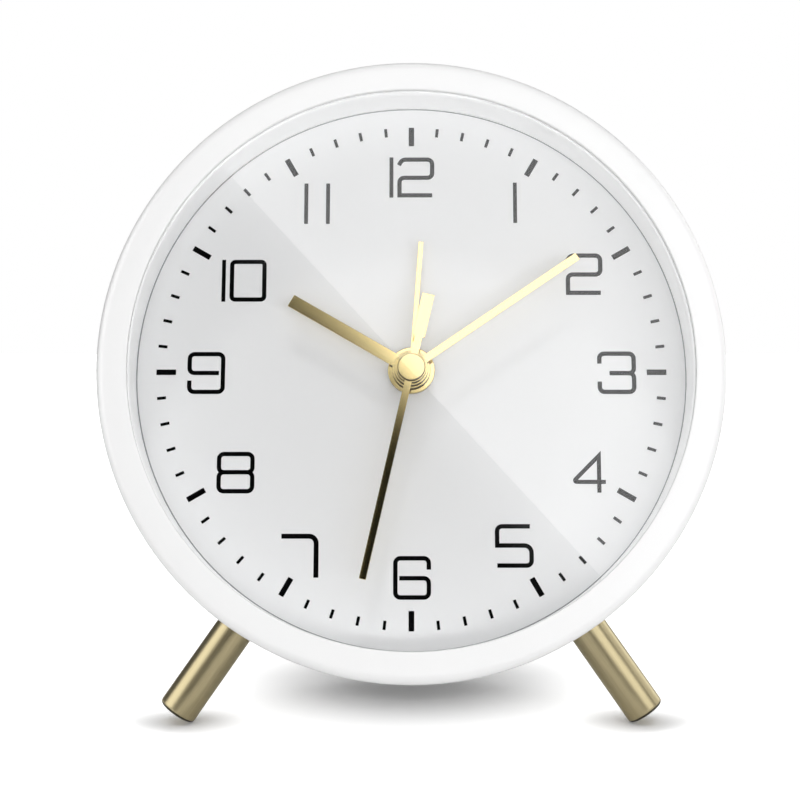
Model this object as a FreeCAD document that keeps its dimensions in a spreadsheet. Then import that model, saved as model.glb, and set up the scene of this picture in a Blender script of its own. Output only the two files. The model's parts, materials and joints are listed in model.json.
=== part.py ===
# Round analogue alarm clock for a desk: a white drum on two brass legs, with a quartz
# movement, four hands, a battery tray and setting knobs behind.
# Millimetres. In the clock's own axes x is to the right, y is up the dial and z comes out
# of the dial towards the reader, with the dial's face at z = 0. At the end the clock leans
# back and stands on its legs, with +Z up and the origin under the middle of its box.

import FreeCAD, Part
import math
import os
import re
import Sketcher
from FreeCAD import Placement, Rotation, Vector

# Driving sizes: millimetres, degrees and tooth counts.
SIZES = {
    # How it stands
    "lean_angle": 11.66,
    "leg_angle": 34.8,
    # Drum
    "case_radius": 60.0,
    "case_wall": 1.8,
    "case_front": 13.0,
    "case_rear": 37.0,
    "case_edge_round": 2.0,
    "case_rear_bevel": 0.6,
    "lip_width": 6.1,
    "lip_thickness": 0.9,
    "lip_edge_bevel": 0.3,
    # Glass and the ring under it
    "lens_thickness": 1.6,
    "stack_gap": 0.2,
    "ring_inset": 0.15,
    "ring_slope": 0.71,
    "ring_wall": 1.0,
    # Dial and its carrier
    "dial_thickness": 0.8,
    "dial_hole_gap": 0.2,
    "carrier_thickness": 1.8,
    "boss_inset": 10.0,
    "boss_radius": 3.2,
    "boss_bore_radius": 1.2,
    "boss_angle": 45.0,
    # Legs
    "leg_radius": 3.85,
    "leg_length": 21.3,
    "leg_depth": 6.8,
    "leg_edge_bevel": 0.6,
    "leg_seat_gap": 0.02,
    "leg_screw_radius": 1.5,
    "leg_screw_grip": 9.0,
    "leg_screw_head_radius": 3.0,
    "leg_screw_head": 1.8,
    "screw_gap": 0.1,
    # Rear foot
    "foot_width": 24.0,
    "foot_length": 5.0,
    "foot_height": 6.5,
    "foot_inset": 0.4,
    # Movement case
    "coil_gap": 0.74,
    "movement_corner": 3.0,
    "movement_wall": 1.2,
    "front_plate": 1.4,
    "middle_plate": 1.0,
    "rear_plate": 1.4,
    "pillar_radius": 2.8,
    "pillar_inset": 3.2,
    "long_screw_radius": 1.0,
    "long_screw_head_radius": 2.0,
    "long_screw_head": 1.3,
    "bush_radius": 3.4,
    "bush_rise": 1.1,
    # Wheels
    "wheel_thickness": 1.0,
    "level_gap": 0.4,
    "wheel_module": 0.5,
    "running_gap": 0.08,
    "press_gap": 0.02,
    "end_shake": 0.1,
    "pivot_radius": 0.45,
    "hub_wall": 0.45,
    "second_teeth": 36,
    "step_teeth": 30,
    "third_teeth": 45,
    "centre_teeth": 48,
    "small_leaves": 6,
    "cannon_teeth": 10,
    "motion_teeth": 30,
    "motion_leaves": 8,
    "hour_teeth": 32,
    "alarm_teeth": 32,
    "alarm_set_teeth": 24,
    "time_set_teeth": 10,
    "setting_angle": 25.4,
    "rotor_angle": 35.0,
    # Concentric pipes
    "second_arbor_radius": 0.5,
    "pipe_wall": 0.6,
    "slip_washer_radius": 3.0,
    "slip_washer_thickness": 0.2,
    # Motor and circuit
    "magnet_radius": 2.9,
    "magnet_length": 1.2,
    "stator_gap": 0.4,
    "stator_thickness": 1.2,
    "stator_rim": 1.2,
    "stator_left": 8.0,
    "stator_pillar_gap": 0.5,
    "stator_seat_radius": 1.5,
    "stator_tab": 4.0,
    "coil_rise": 8.2,
    "coil_core_width": 3.0,
    "coil_radius": 2.2,
    "board_width": 20.0,
    "board_height": 22.0,
    "board_thickness": 0.8,
    "crystal_radius": 1.0,
    "crystal_length": 6.0,
    "chip_radius": 3.0,
    "chip_height": 0.9,
    # Hands, their hubs and their heights above the dial
    "hand_thickness": 0.4,
    "alarm_hand_height": 2.0,
    "hour_hand_height": 3.3,
    "minute_hand_height": 4.55,
    "second_hand_height": 5.6,
    "alarm_hub_radius": 4.62,
    "hour_hub_radius": 3.73,
    "minute_hub_radius": 3.3,
    "second_hub_radius": 2.92,
    "cap_radius": 2.56,
    "cap_height": 0.8,
    "cap_bevel": 0.15,
    "hub_collar": 0.35,
    "alarm_hand_length": 26.2,
    "alarm_hand_width": 0.99,
    "alarm_hand_angle": 4.2,
    "hour_hand_length": 27.5,
    "hour_hand_width": 2.56,
    "hour_hand_angle": 300.1,
    "minute_hand_length": 39.8,
    "minute_hand_width": 1.56,
    "minute_hand_angle": 55.6,
    "second_hand_length": 41.8,
    "second_hand_width": 1.36,
    "second_hand_angle": 192.9,
    "tail_length": 15.0,
    "tail_start": 6.3,
    "tail_width": 2.47,
    # Back cover
    "cover_inset": 0.6,
    "cover_thickness": 1.6,
    "cover_bevel": 0.8,
    "cover_skirt_wall": 1.5,
    "cover_skirt_depth": 4.0,
    "cover_screw_radius": 1.1,
    "cover_screw_head_radius": 2.4,
    "cover_screw_head": 1.3,
    "cover_screw_length": 8.0,
    "cup_wall": 1.2,
    "well_radius": 11.0,
    "well_depth": 5.0,
    # Battery tray, lid and cell
    "cell_radius": 7.25,
    "cell_length": 49.5,
    "nub_radius": 2.75,
    "nub_length": 1.0,
    "cell_gap": 0.25,
    "tray_below_wells": 11.5,
    "tray_depth": 15.3,
    "contact_thickness": 0.5,
    "contact_width": 11.0,
    "spring_length": 4.5,
    "spring_wide_radius": 4.2,
    "spring_narrow_radius": 2.6,
    "spring_wall": 0.8,
    "lid_thickness": 1.5,
    "lid_gap": 0.15,
    "lid_ledge": 1.6,
    "lid_pin_radius": 0.5,
    "lid_pin_length": 1.0,
    "lid_notch_width": 12.0,
    "lid_notch_height": 3.0,
    "lid_notch_depth": 0.5,
    # Knobs and their arbors
    "arbor_radius": 0.9,
    "knob_radius": 7.4,
    "knob_height": 9.0,
    "knob_lift": 0.5,
    "knob_cap_thickness": 2.0,
    "knob_rim": 1.5,
    "knob_ribs": 24,
    # Alarm sounder and switch
    "sounder_radius": 12.0,
    "sounder_height": 4.0,
    "sounder_inset": 24.0,
    "sounder_rim": 1.0,
    "slot_length": 14.0,
    "slot_width": 1.4,
    "slot_spacing": 3.2,
    "slot_count": 5,
    "switch_beside_well": 8.35,
    "switch_above_knobs": 11.0,
    "switch_travel": 4.0,
    "switch_width": 4.0,
    "switch_length": 5.0,
    "switch_height": 1.6,
    "switch_neck": 2.4,
    "switch_flange": 1.0,
    "switch_plate": 0.8,
    "switch_gap": 0.15,
    # Cuts run past the faces that they open by this much
    "cut_overrun": 1.0,
}

# Tooth form, as shares of the module (heights) and of the tooth pitch (widths).
ADDENDUM_SHARE = 0.85
LEAF_ADDENDUM_SHARE = 0.55
DEDENDUM_SHARE = 1.15
ROOT_WIDTH_SHARE = 0.58
LEAF_ROOT_WIDTH_SHARE = 0.50
TIP_WIDTH_SHARE = 0.16

doc = FreeCAD.newDocument("alarm_clock")
sheet = doc.addObject("Spreadsheet::Sheet", "size")
for row, (alias, amount) in enumerate(SIZES.items(), start=1):
    sheet.set(f"A{row}", alias)
    sheet.set(f"B{row}", str(amount))
    sheet.setAlias(f"B{row}", alias)
doc.recompute()

nodes = {}


# Binding to the sheet

def cells(text):
    """Puts the sheet's name before each size named in an expression."""
    return re.sub(r"[a-z]+(?:_[a-z]+)+", lambda found: f"size.{found.group(0)}", str(text))


def bind(feature, links):
    for place, text in links.items():
        feature.setExpression(place, cells(text))


def read(alias):
    return float(getattr(sheet, alias))


# Part solids

def cylinder(radius, height, x="0", y="0", z="0"):
    solid = doc.addObject("Part::Cylinder", "cylinder")
    bind(solid, {"Radius": radius, "Height": height, "Placement.Base.x": x,
                 "Placement.Base.y": y, "Placement.Base.z": z})
    return solid


def cone(low_radius, high_radius, height, x="0", y="0", z="0"):
    solid = doc.addObject("Part::Cone", "cone")
    bind(solid, {"Radius1": low_radius, "Radius2": high_radius, "Height": height,
                 "Placement.Base.x": x, "Placement.Base.y": y, "Placement.Base.z": z})
    return solid


def block(width, height, depth, x="0", y="0", z="0"):
    """A box centred on x and y that rises from z."""
    solid = doc.addObject("Part::Box", "block")
    bind(solid, {"Length": width, "Width": height, "Height": depth,
                 "Placement.Base.x": f"{x} - ({width}) / 2",
                 "Placement.Base.y": f"{y} - ({height}) / 2", "Placement.Base.z": z})
    return solid


def turned_to(solid, axis, angle="90"):
    """Turns a primitive about its own base point."""
    solid.Placement = Placement(solid.Placement.Base, Rotation(axis, 1))
    bind(solid, {"Placement.Rotation.Angle": angle})
    return solid


def joined(parts):
    whole = doc.addObject("Part::MultiFuse", "joined")
    whole.Shapes = parts
    whole.Refine = True
    return whole


def less(base, cuts):
    tool = cuts[0] if len(cuts) == 1 else joined(cuts)
    whole = doc.addObject("Part::Cut", "cut")
    whole.Base = base
    whole.Tool = tool
    whole.Refine = True
    return whole


def node(label, feature):
    """Keeps a finished sub-part. One that has a bound place of its own gets a holder."""
    if any(place.startswith(".Placement.Base") for place, text in feature.ExpressionEngine):
        holder = doc.addObject("Part::Compound", "holder")
        holder.Links = [feature]
        feature = holder
    feature.Label = label
    nodes[label] = feature
    return feature


# Sketched solids

def new_body():
    return doc.addObject("PartDesign::Body", "body")


def sketch_on(body, role, height="0", angle="0"):
    """An empty sketch on one of the body's own planes, raised and turned in that plane."""
    plane = [item for item in body.Origin.OriginFeatures if item.Role == role][0]
    drawing = body.newObject("Sketcher::SketchObject", "sketch")
    drawing.AttachmentSupport = [(plane, "")]
    drawing.MapMode = "FlatFace"
    drawing.AttachmentOffset = Placement(Vector(), Rotation(Vector(0, 0, 1), 1))
    bind(drawing, {"AttachmentOffset.Base.z": height,
                   "AttachmentOffset.Rotation.Angle": angle})
    return drawing


def hold(drawing, corner, point):
    """Holds the start of one line at a place given in named sizes."""
    for kind, text, other_axis in (("DistanceX", point[0], -2), ("DistanceY", point[1], -1)):
        if text == "0":
            drawing.addConstraint(Sketcher.Constraint("PointOnObject", corner, 1, other_axis))
        else:
            at = drawing.getPoint(corner, 1)
            length = at.x if kind == "DistanceX" else at.y
            number = drawing.addConstraint(Sketcher.Constraint(kind, -1, 1, corner, 1, length))
            drawing.setExpression(f"Constraints[{number}]", cells(text))


def outline(drawing, points):
    """A closed run of lines. It starts as a regular shape, and its sizes pull it into place."""
    first = drawing.GeometryCount
    count = len(points)
    turn = 2 * math.pi / count
    spots = [Vector(math.cos(turn * index), math.sin(turn * index), 0) for index in range(count)]
    for index in range(count):
        drawing.addGeometry(Part.LineSegment(spots[index], spots[(index + 1) % count]), False)
    for index in range(count):
        after = first + (index + 1) % count
        drawing.addConstraint(Sketcher.Constraint("Coincident", first + index, 2, after, 1))
    for index in range(count):
        hold(drawing, first + index, points[index])


def rectangle(drawing, width, height, x="0", y="0"):
    left, right = f"{x} - ({width}) / 2", f"{x} + ({width}) / 2"
    low, high = f"{y} - ({height}) / 2", f"{y} + ({height}) / 2"
    outline(drawing, [(left, low), (right, low), (right, high), (left, high)])


def circle(drawing, radius, x="0", y="0"):
    number = drawing.addGeometry(Part.Circle(Vector(1, 1, 0), Vector(0, 0, 1), 1), False)
    for kind, text, other_axis in (("DistanceX", x, -2), ("DistanceY", y, -1)):
        if text == "0":
            drawing.addConstraint(Sketcher.Constraint("PointOnObject", number, 3, other_axis))
        else:
            place = drawing.addConstraint(Sketcher.Constraint(kind, -1, 1, number, 3, 1))
            drawing.setExpression(f"Constraints[{place}]", cells(text))
    size_of = drawing.addConstraint(Sketcher.Constraint("Radius", number, 1))
    drawing.setExpression(f"Constraints[{size_of}]", cells(radius))


def pad(body, drawing, length):
    feature = body.newObject("PartDesign::Pad", "pad")
    feature.Profile = drawing
    bind(feature, {"Length": length})
    return feature


def sink(body, drawing, length):
    """Cuts upwards from the sketch, and makes sure that something was cut."""
    doc.recompute()
    before = body.Shape.Volume
    feature = body.newObject("PartDesign::Pocket", "pocket")
    feature.Profile = drawing
    feature.Reversed = True
    bind(feature, {"Length": length})
    doc.recompute()
    if body.Shape.Volume >= before:
        raise ValueError("a pocket cut nothing")
    return feature


def lathe(points):
    """A body turned about z from an outline in radius and height."""
    body = new_body()
    drawing = sketch_on(body, "XZ_Plane")
    outline(drawing, points)
    feature = body.newObject("PartDesign::Revolution", "turning")
    feature.Profile = drawing
    feature.ReferenceAxis = (drawing, ["V_Axis"])
    feature.Angle = 360
    return body


def rounded(body, radius, wanted):
    """Rounds the edges that a test picks out."""
    doc.recompute()
    base = body.Tip
    names = [f"Edge{number}" for number, edge in enumerate(body.Shape.Edges, start=1)
             if wanted(edge)]
    feature = body.newObject("PartDesign::Fillet", "round")
    feature.Base = (base, names)
    bind(feature, {"Radius": radius})
    return feature


def bevelled(body, size, wanted):
    """Bevels the edges that a test picks out."""
    doc.recompute()
    base = body.Tip
    names = [f"Edge{number}" for number, edge in enumerate(body.Shape.Edges, start=1)
             if wanted(edge)]
    feature = body.newObject("PartDesign::Chamfer", "bevel")
    feature.Base = (base, names)
    bind(feature, {"Size": size})
    return feature


def is_ring(edge, radius, height):
    curve = edge.Curve
    return (isinstance(curve, Part.Circle) and math.isclose(curve.Radius, radius, abs_tol=1e-4)
            and math.isclose(curve.Center.z, height, abs_tol=1e-4))


# Toothed wheels

def toothed(teeth, module, thickness, phase, leaves=False):
    """A flat toothed disc from z = 0 up, with the middle of one tooth at the phase angle."""
    pitch_radius = module * teeth / 2
    addendum = LEAF_ADDENDUM_SHARE if leaves else ADDENDUM_SHARE
    root_width = LEAF_ROOT_WIDTH_SHARE if leaves else ROOT_WIDTH_SHARE
    root_radius = pitch_radius - DEDENDUM_SHARE * module
    tip_radius = pitch_radius + addendum * module
    corners = ((root_radius, -root_width), (tip_radius, -TIP_WIDTH_SHARE),
               (tip_radius, TIP_WIDTH_SHARE), (root_radius, root_width))
    points = []
    for tooth in range(int(teeth)):
        for radius, share in corners:
            angle = math.radians(phase + (tooth + share / 2) * 360 / teeth)
            points.append(Vector(radius * math.cos(angle), radius * math.sin(angle), 0))
    face = Part.Face(Part.makePolygon(points + points[:1]))
    feature = doc.addObject("Part::Feature", "toothed")
    feature.Shape = face.extrude(Vector(0, 0, thickness))
    return feature


def placed(feature, x, y, z):
    bind(feature, {"Placement.Base.x": x, "Placement.Base.y": y, "Placement.Base.z": z})
    return feature


def phase_in_mesh(phase, teeth, direction, other_teeth):
    """The phase of a wheel that meshes with one of a given phase, across a direction."""
    into_pitch = (direction - phase) * teeth / 360
    return direction + 180 + (into_pitch - 0.5) * 360 / other_teeth


# Heights of the layers behind the dial, from the front plate to the rear plate.
LIP_BACK = "(case_front - lip_thickness)"
LENS_BACK = f"({LIP_BACK} - lens_thickness)"
DIAL_BACK = "(-dial_thickness)"
CARRIER_BACK = f"({DIAL_BACK} - carrier_thickness)"
FRONT_PLATE_BACK = f"({CARRIER_BACK} - front_plate)"
LAYER = "(wheel_thickness + level_gap)"
ALARM_LEVEL = f"({FRONT_PLATE_BACK} - {LAYER})"
HOUR_LEVEL = f"({ALARM_LEVEL} - {LAYER})"
MOTION_LEVEL = f"({HOUR_LEVEL} - {LAYER})"
CENTRE_LEVEL = f"({MOTION_LEVEL} - {LAYER})"
MIDDLE_PLATE_LOW = f"({CENTRE_LEVEL} - level_gap - middle_plate)"
THIRD_LEVEL = f"({MIDDLE_PLATE_LOW} - {LAYER})"
SECOND_LEVEL = f"({THIRD_LEVEL} - {LAYER})"
STEP_LEVEL = f"({SECOND_LEVEL} - {LAYER})"
STATOR_LEVEL = f"({STEP_LEVEL} - level_gap - stator_thickness)"
REAR_PLATE_TOP = f"({STATOR_LEVEL} - level_gap)"
MOVEMENT_BACK = f"({REAR_PLATE_TOP} - rear_plate)"
COVER_BACK = "(-case_rear - cover_thickness)"

# Radii that follow the drum's.
LIP = "(case_radius - lip_width)"
RING_TOP = f"({LIP} + ring_inset)"
RING_FOOT = f"({RING_TOP} + ring_slope)"
BOSS_REACH = "(case_radius - boss_inset)"
LEG_END = "(case_radius + leg_length)"
COVER_EDGE = "(case_radius - cover_inset)"

# Radii of the pipes that turn inside each other.
MINUTE_BORE = "(second_arbor_radius + running_gap)"
MINUTE_PIPE = f"({MINUTE_BORE} + pipe_wall)"
HOUR_BORE = f"({MINUTE_PIPE} + running_gap)"
HOUR_PIPE = f"({HOUR_BORE} + pipe_wall)"
ALARM_BORE = f"({HOUR_PIPE} + running_gap)"
ALARM_PIPE = f"({ALARM_BORE} + pipe_wall)"
BUSH_BORE = f"({ALARM_PIPE} + running_gap)"
PIVOT_BORE = "(pivot_radius + running_gap)"
ARBOR_BORE = "(arbor_radius + running_gap)"

# Places of the wheels, in x and y.
THIRD_MODULE = "(wheel_module * (third_teeth + small_leaves) / (centre_teeth + small_leaves))"
THIRD_Y = "(-wheel_module * (third_teeth + small_leaves) / 2)"
STEP_Y = "(wheel_module * (second_teeth + small_leaves) / 2)"
ROTOR_REACH = "(wheel_module * (step_teeth + small_leaves) / 2)"
ROTOR_X = f"({ROTOR_REACH} * cos(rotor_angle))"
ROTOR_Y = f"({STEP_Y} + {ROTOR_REACH} * sin(rotor_angle))"
SET_REACH = "(wheel_module * (alarm_teeth + alarm_set_teeth) / 2)"
SET_X = f"({SET_REACH} * cos(setting_angle))"
SET_Y = f"({SET_REACH} * sin(setting_angle))"
MOTION_REACH = "(wheel_module * (cannon_teeth + motion_teeth) / 2)"
MOTION_RISE = f"sqrt({MOTION_REACH} ^ 2 - ({SET_REACH} / 2) ^ 2)"
MOTION_X = f"(-{SET_X} / 2 + {MOTION_RISE} * sin(setting_angle))"
MOTION_Y = f"({SET_Y} / 2 + {MOTION_RISE} * cos(setting_angle))"
COIL_Y = f"({ROTOR_Y} + coil_rise)"
HALF_MOVEMENT = f"({COIL_Y} + coil_radius + coil_gap + movement_wall)"
PILLAR_AT = f"({HALF_MOVEMENT} - pillar_inset)"
STATOR_RIGHT = f"({PILLAR_AT} - pillar_radius - stator_pillar_gap)"
STATOR_TABS = ("(stator_tab / 2 - stator_left)", f"({STATOR_RIGHT} - stator_tab / 2)")
BOSS_X = f"({BOSS_REACH} * cos(boss_angle))"
BOSS_Y = f"({BOSS_REACH} * sin(boss_angle))"
CORNERS = ((1, 1), (-1, 1), (-1, -1), (1, -1))

THIN = read("wheel_thickness")
MODULE = read("wheel_module")


# Casing

def make_case():
    inner = "(case_radius - case_wall)"
    body = lathe([(LIP, LIP_BACK), (LIP, "case_front"),
                  ("case_radius", "case_front"), ("case_radius", "-case_rear"),
                  (inner, "-case_rear"), (inner, LIP_BACK)])
    rounded(body, "case_edge_round",
            lambda edge: is_ring(edge, read("case_radius"), read("case_front")))
    bevelled(body, "case_rear_bevel",
             lambda edge: is_ring(edge, read("case_radius"), -read("case_rear")))
    bevelled(body, "lip_edge_bevel",
             lambda edge: is_ring(edge, read("case_radius") - read("lip_width"),
                                  read("case_front")))
    holes = [leg_rod("leg_screw_radius + screw_gap", "case_radius - 2 * case_wall",
                     "case_radius + cut_overrun", side) for side in (-1, 1)]
    node("case", less(body, holes))


def make_lens():
    radius = "case_radius - case_wall - stack_gap"
    body = new_body()
    drawing = sketch_on(body, "XY_Plane", LENS_BACK)
    circle(drawing, radius)
    pad(body, drawing, "lens_thickness")
    node("lens", body)


def make_inner_ring():
    outer = "(case_radius - case_wall - stack_gap)"
    body = lathe([(RING_FOOT, "0"), (f"{RING_FOOT} + ring_wall", "0"),
                  (f"{RING_TOP} + ring_wall", f"{LENS_BACK} - ring_wall"),
                  (outer, f"{LENS_BACK} - ring_wall"), (outer, LENS_BACK),
                  (RING_TOP, LENS_BACK)])
    node("inner_ring", body)


def make_dial():
    body = new_body()
    drawing = sketch_on(body, "XY_Plane", DIAL_BACK)
    circle(drawing, "case_radius - case_wall - stack_gap")
    circle(drawing, "bush_radius + dial_hole_gap")
    pad(body, drawing, "dial_thickness")
    node("dial", body)


def make_dial_carrier():
    body = new_body()
    drawing = sketch_on(body, "XY_Plane", CARRIER_BACK)
    circle(drawing, "case_radius - case_wall - stack_gap")
    circle(drawing, "bush_radius + dial_hole_gap")
    pad(body, drawing, "carrier_thickness")
    bosses = sketch_on(body, "XY_Plane", "-case_rear")
    for across, up in CORNERS:
        circle(bosses, "boss_radius", f"{across} * {BOSS_X}", f"{up} * {BOSS_Y}")
    pad(body, bosses, f"case_rear + {CARRIER_BACK}")
    bores = sketch_on(body, "XY_Plane", "-case_rear")
    for across, up in CORNERS:
        circle(bores, "boss_bore_radius", f"{across} * {BOSS_X}", f"{up} * {BOSS_Y}")
    sink(body, bores, "cover_screw_length + cut_overrun")
    taps = sketch_on(body, "XY_Plane", CARRIER_BACK)
    for across, up in CORNERS:
        circle(taps, "long_screw_radius + press_gap", f"{across} * {PILLAR_AT}",
               f"{up} * {PILLAR_AT}")
    sink(body, taps, "carrier_thickness")
    node("dial_carrier", body)


# Legs and foot

def leg_rod(radius, start, end, side):
    """A rod along a leg's axis, between two distances from the drum's axis."""
    rod = cylinder(radius, f"({end}) - ({start})", f"{side} * ({start}) * sin(leg_angle)",
                   f"-({start}) * cos(leg_angle)", "-leg_depth")
    direction = Vector(side * math.sin(math.radians(read("leg_angle"))),
                       -math.cos(math.radians(read("leg_angle"))), 0)
    rod.Placement = Placement(rod.Placement.Base, Rotation(Vector(0, 0, 1), direction))
    return rod


def leg_reach():
    return read("case_radius") + read("leg_length")


def make_legs():
    for side, label in ((-1, "leg_left"), (1, "leg_right")):
        rod = leg_rod("leg_radius", "case_radius - case_wall", LEG_END, side)
        doc.recompute()
        reach, spread = leg_reach(), math.radians(read("leg_angle"))
        far = Vector(side * reach * math.sin(spread), -reach * math.cos(spread),
                     -read("leg_depth"))
        rim = [number for number, edge in enumerate(rod.Shape.Edges, start=1)
               if isinstance(edge.Curve, Part.Circle) and edge.Curve.Center.isEqual(far, 1e-3)]
        bevelled_rod = doc.addObject("Part::Chamfer", "bevelled_rod")
        bevelled_rod.Base = rod
        bevelled_rod.Edges = [(number, read("leg_edge_bevel"), read("leg_edge_bevel"))
                              for number in rim]
        drum = cylinder("case_radius + leg_seat_gap", "case_front + case_rear",
                        z="-case_rear")
        tap = leg_rod("leg_screw_radius + press_gap", "case_radius - case_wall",
                      "case_radius + leg_screw_grip", side)
        node(label, less(bevelled_rod, [drum, tap]))


def make_leg_screws():
    head_foot = "sqrt((case_radius - case_wall) ^ 2 - leg_screw_head_radius ^ 2)"
    screws = []
    for side in (-1, 1):
        screws.append(leg_rod("leg_screw_radius", head_foot,
                              "case_radius + leg_screw_grip", side))
        screws.append(leg_rod("leg_screw_head_radius", f"{head_foot} - leg_screw_head",
                              head_foot, side))
    node("leg_screws", joined(screws))


# Movement case

def make_front_plate():
    plate = block(f"2 * {HALF_MOVEMENT}", f"2 * {HALF_MOVEMENT}", "front_plate",
                  z=FRONT_PLATE_BACK)
    bush = cylinder("bush_radius", f"bush_rise - {CARRIER_BACK}", z=CARRIER_BACK)
    post = cylinder("pivot_radius", f"{FRONT_PLATE_BACK} - {MOTION_LEVEL}", MOTION_X, MOTION_Y,
                    MOTION_LEVEL)
    cuts = [cylinder(BUSH_BORE, f"bush_rise - {FRONT_PLATE_BACK} + 2 * cut_overrun",
                     z=f"{FRONT_PLATE_BACK} - cut_overrun")]
    cuts.append(cylinder(PIVOT_BORE, "front_plate / 2", "0", THIRD_Y, FRONT_PLATE_BACK))
    for side in (-1, 1):
        cuts.append(cylinder(ARBOR_BORE, "front_plate / 2", f"{side} * {SET_X}", SET_Y,
                             FRONT_PLATE_BACK))
    cuts += corner_holes(FRONT_PLATE_BACK, "front_plate")
    node("movement_front_plate", less(joined([plate, bush, post]), cuts))


def corner_holes(z, depth):
    return [cylinder("long_screw_radius + screw_gap", f"{depth} + 2 * cut_overrun",
                     f"{across} * {PILLAR_AT}", f"{up} * {PILLAR_AT}", f"{z} - cut_overrun")
            for across, up in CORNERS]


def make_middle_plate():
    inside = f"(2 * ({HALF_MOVEMENT} - movement_wall - press_gap))"
    plate = block(inside, inside, "middle_plate", z=MIDDLE_PLATE_LOW)
    deep = "middle_plate + 2 * cut_overrun"
    low = f"{MIDDLE_PLATE_LOW} - cut_overrun"
    small_hub = f"(({THIRD_MODULE} * small_leaves) / 2 + wheel_module)"
    cuts = [cylinder("second_arbor_radius + hub_wall + running_gap", deep, z=low),
            cylinder(small_hub, deep, "0", THIRD_Y, low),
            cylinder(PIVOT_BORE, deep, "0", STEP_Y, low),
            cylinder(PIVOT_BORE, deep, ROTOR_X, ROTOR_Y, low)]
    for side in (-1, 1):
        cuts.append(cylinder(ARBOR_BORE, deep, f"{side} * {SET_X}", SET_Y, low))
    for across, up in CORNERS:
        cuts.append(cylinder("pillar_radius + press_gap", deep, f"{across} * {PILLAR_AT}",
                             f"{up} * {PILLAR_AT}", low))
    node("movement_middle_plate", less(plate, cuts))


def make_movement_case():
    body = new_body()
    drawing = sketch_on(body, "XY_Plane", MOVEMENT_BACK)
    rectangle(drawing, f"2 * {HALF_MOVEMENT}", f"2 * {HALF_MOVEMENT}")
    pad(body, drawing, f"{FRONT_PLATE_BACK} - {MOVEMENT_BACK}")
    rounded(body, "movement_corner",
            lambda edge: isinstance(edge.Curve, Part.Line)
            and abs(edge.tangentAt(edge.FirstParameter).z) > 0.5)
    hollow = sketch_on(body, "XY_Plane", REAR_PLATE_TOP)
    inside = f"(2 * ({HALF_MOVEMENT} - movement_wall))"
    rectangle(hollow, inside, inside)
    sink(body, hollow, f"{FRONT_PLATE_BACK} - {REAR_PLATE_TOP}")
    ledge = "(movement_wall + level_gap)"
    pillars = [cylinder("pillar_radius", f"{FRONT_PLATE_BACK} - {REAR_PLATE_TOP}",
                        f"{across} * {PILLAR_AT}", f"{up} * {PILLAR_AT}", REAR_PLATE_TOP)
               for across, up in CORNERS]
    rests = [block(f"2 * {ledge}", f"{HALF_MOVEMENT} / 2",
                   f"{MIDDLE_PLATE_LOW} - {REAR_PLATE_TOP}",
                   f"{side} * ({HALF_MOVEMENT} - {ledge})", f"-{HALF_MOVEMENT} / 4",
                   REAR_PLATE_TOP) for side in (-1, 1)]
    seats = [cylinder("stator_seat_radius", f"{STATOR_LEVEL} - {REAR_PLATE_TOP}", x,
                      COIL_Y, REAR_PLATE_TOP) for x in STATOR_TABS]
    deep = "rear_plate + 2 * cut_overrun"
    low = f"{MOVEMENT_BACK} - cut_overrun"
    half_plate = "rear_plate / 2"
    inner_low = f"{REAR_PLATE_TOP} - {half_plate}"
    cuts = [cylinder("second_arbor_radius + running_gap", half_plate, z=inner_low),
            cylinder(PIVOT_BORE, half_plate, "0", THIRD_Y, inner_low),
            cylinder(PIVOT_BORE, half_plate, "0", STEP_Y, inner_low),
            cylinder(PIVOT_BORE, half_plate, ROTOR_X, ROTOR_Y, inner_low)]
    for side in (-1, 1):
        cuts.append(cylinder(ARBOR_BORE, deep, f"{side} * {SET_X}", SET_Y, low))
    cuts += corner_holes(MOVEMENT_BACK, f"{FRONT_PLATE_BACK} - {MOVEMENT_BACK}")
    node("movement_case", less(joined([body] + pillars + rests + seats), cuts))


def make_movement_screws():
    screws = []
    for across, up in CORNERS:
        x, y = f"{across} * {PILLAR_AT}", f"{up} * {PILLAR_AT}"
        screws.append(cylinder("long_screw_radius", f"{DIAL_BACK} - {MOVEMENT_BACK} - end_shake",
                               x, y, MOVEMENT_BACK))
        screws.append(cylinder("long_screw_head_radius", "long_screw_head", x, y,
                               f"{MOVEMENT_BACK} - long_screw_head"))
    node("movement_screws", joined(screws))


# Going train: rotor, step wheel, second wheel, third wheel and centre wheel

def make_second_wheel():
    wheel = placed(toothed(read("second_teeth"), MODULE, THIN, 0), "0", "0", SECOND_LEVEL)
    leaves = placed(toothed(read("small_leaves"), MODULE, THIN + read("level_gap"), 0, True),
                    "0", "0", f"{SECOND_LEVEL} + wheel_thickness")
    bore = cylinder("second_arbor_radius + press_gap", "4 * wheel_thickness",
                    z=f"{SECOND_LEVEL} - wheel_thickness")
    node("second_wheel", less(joined([wheel, leaves]), [bore]))
    arbor = cylinder("second_arbor_radius",
                     f"second_hand_height + hand_thickness - {REAR_PLATE_TOP} + rear_plate / 3",
                     z=f"{REAR_PLATE_TOP} - rear_plate / 3")
    node("second_arbor", arbor)


def make_step_wheel():
    phase = phase_in_mesh(0, read("second_teeth"), 90, read("small_leaves"))
    leaves = placed(toothed(read("small_leaves"), MODULE, THIN + read("level_gap"), phase,
                            True), "0", STEP_Y, f"{SECOND_LEVEL} - level_gap")
    wheel = placed(toothed(read("step_teeth"), MODULE, THIN, 0), "0", STEP_Y, STEP_LEVEL)
    pivots = cylinder("pivot_radius",
                      f"{MIDDLE_PLATE_LOW} + middle_plate - {REAR_PLATE_TOP} + rear_plate / 3"
                      " - end_shake", "0", STEP_Y, f"{REAR_PLATE_TOP} - rear_plate / 3")
    node("step_wheel", joined([leaves, wheel, pivots]))


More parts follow.
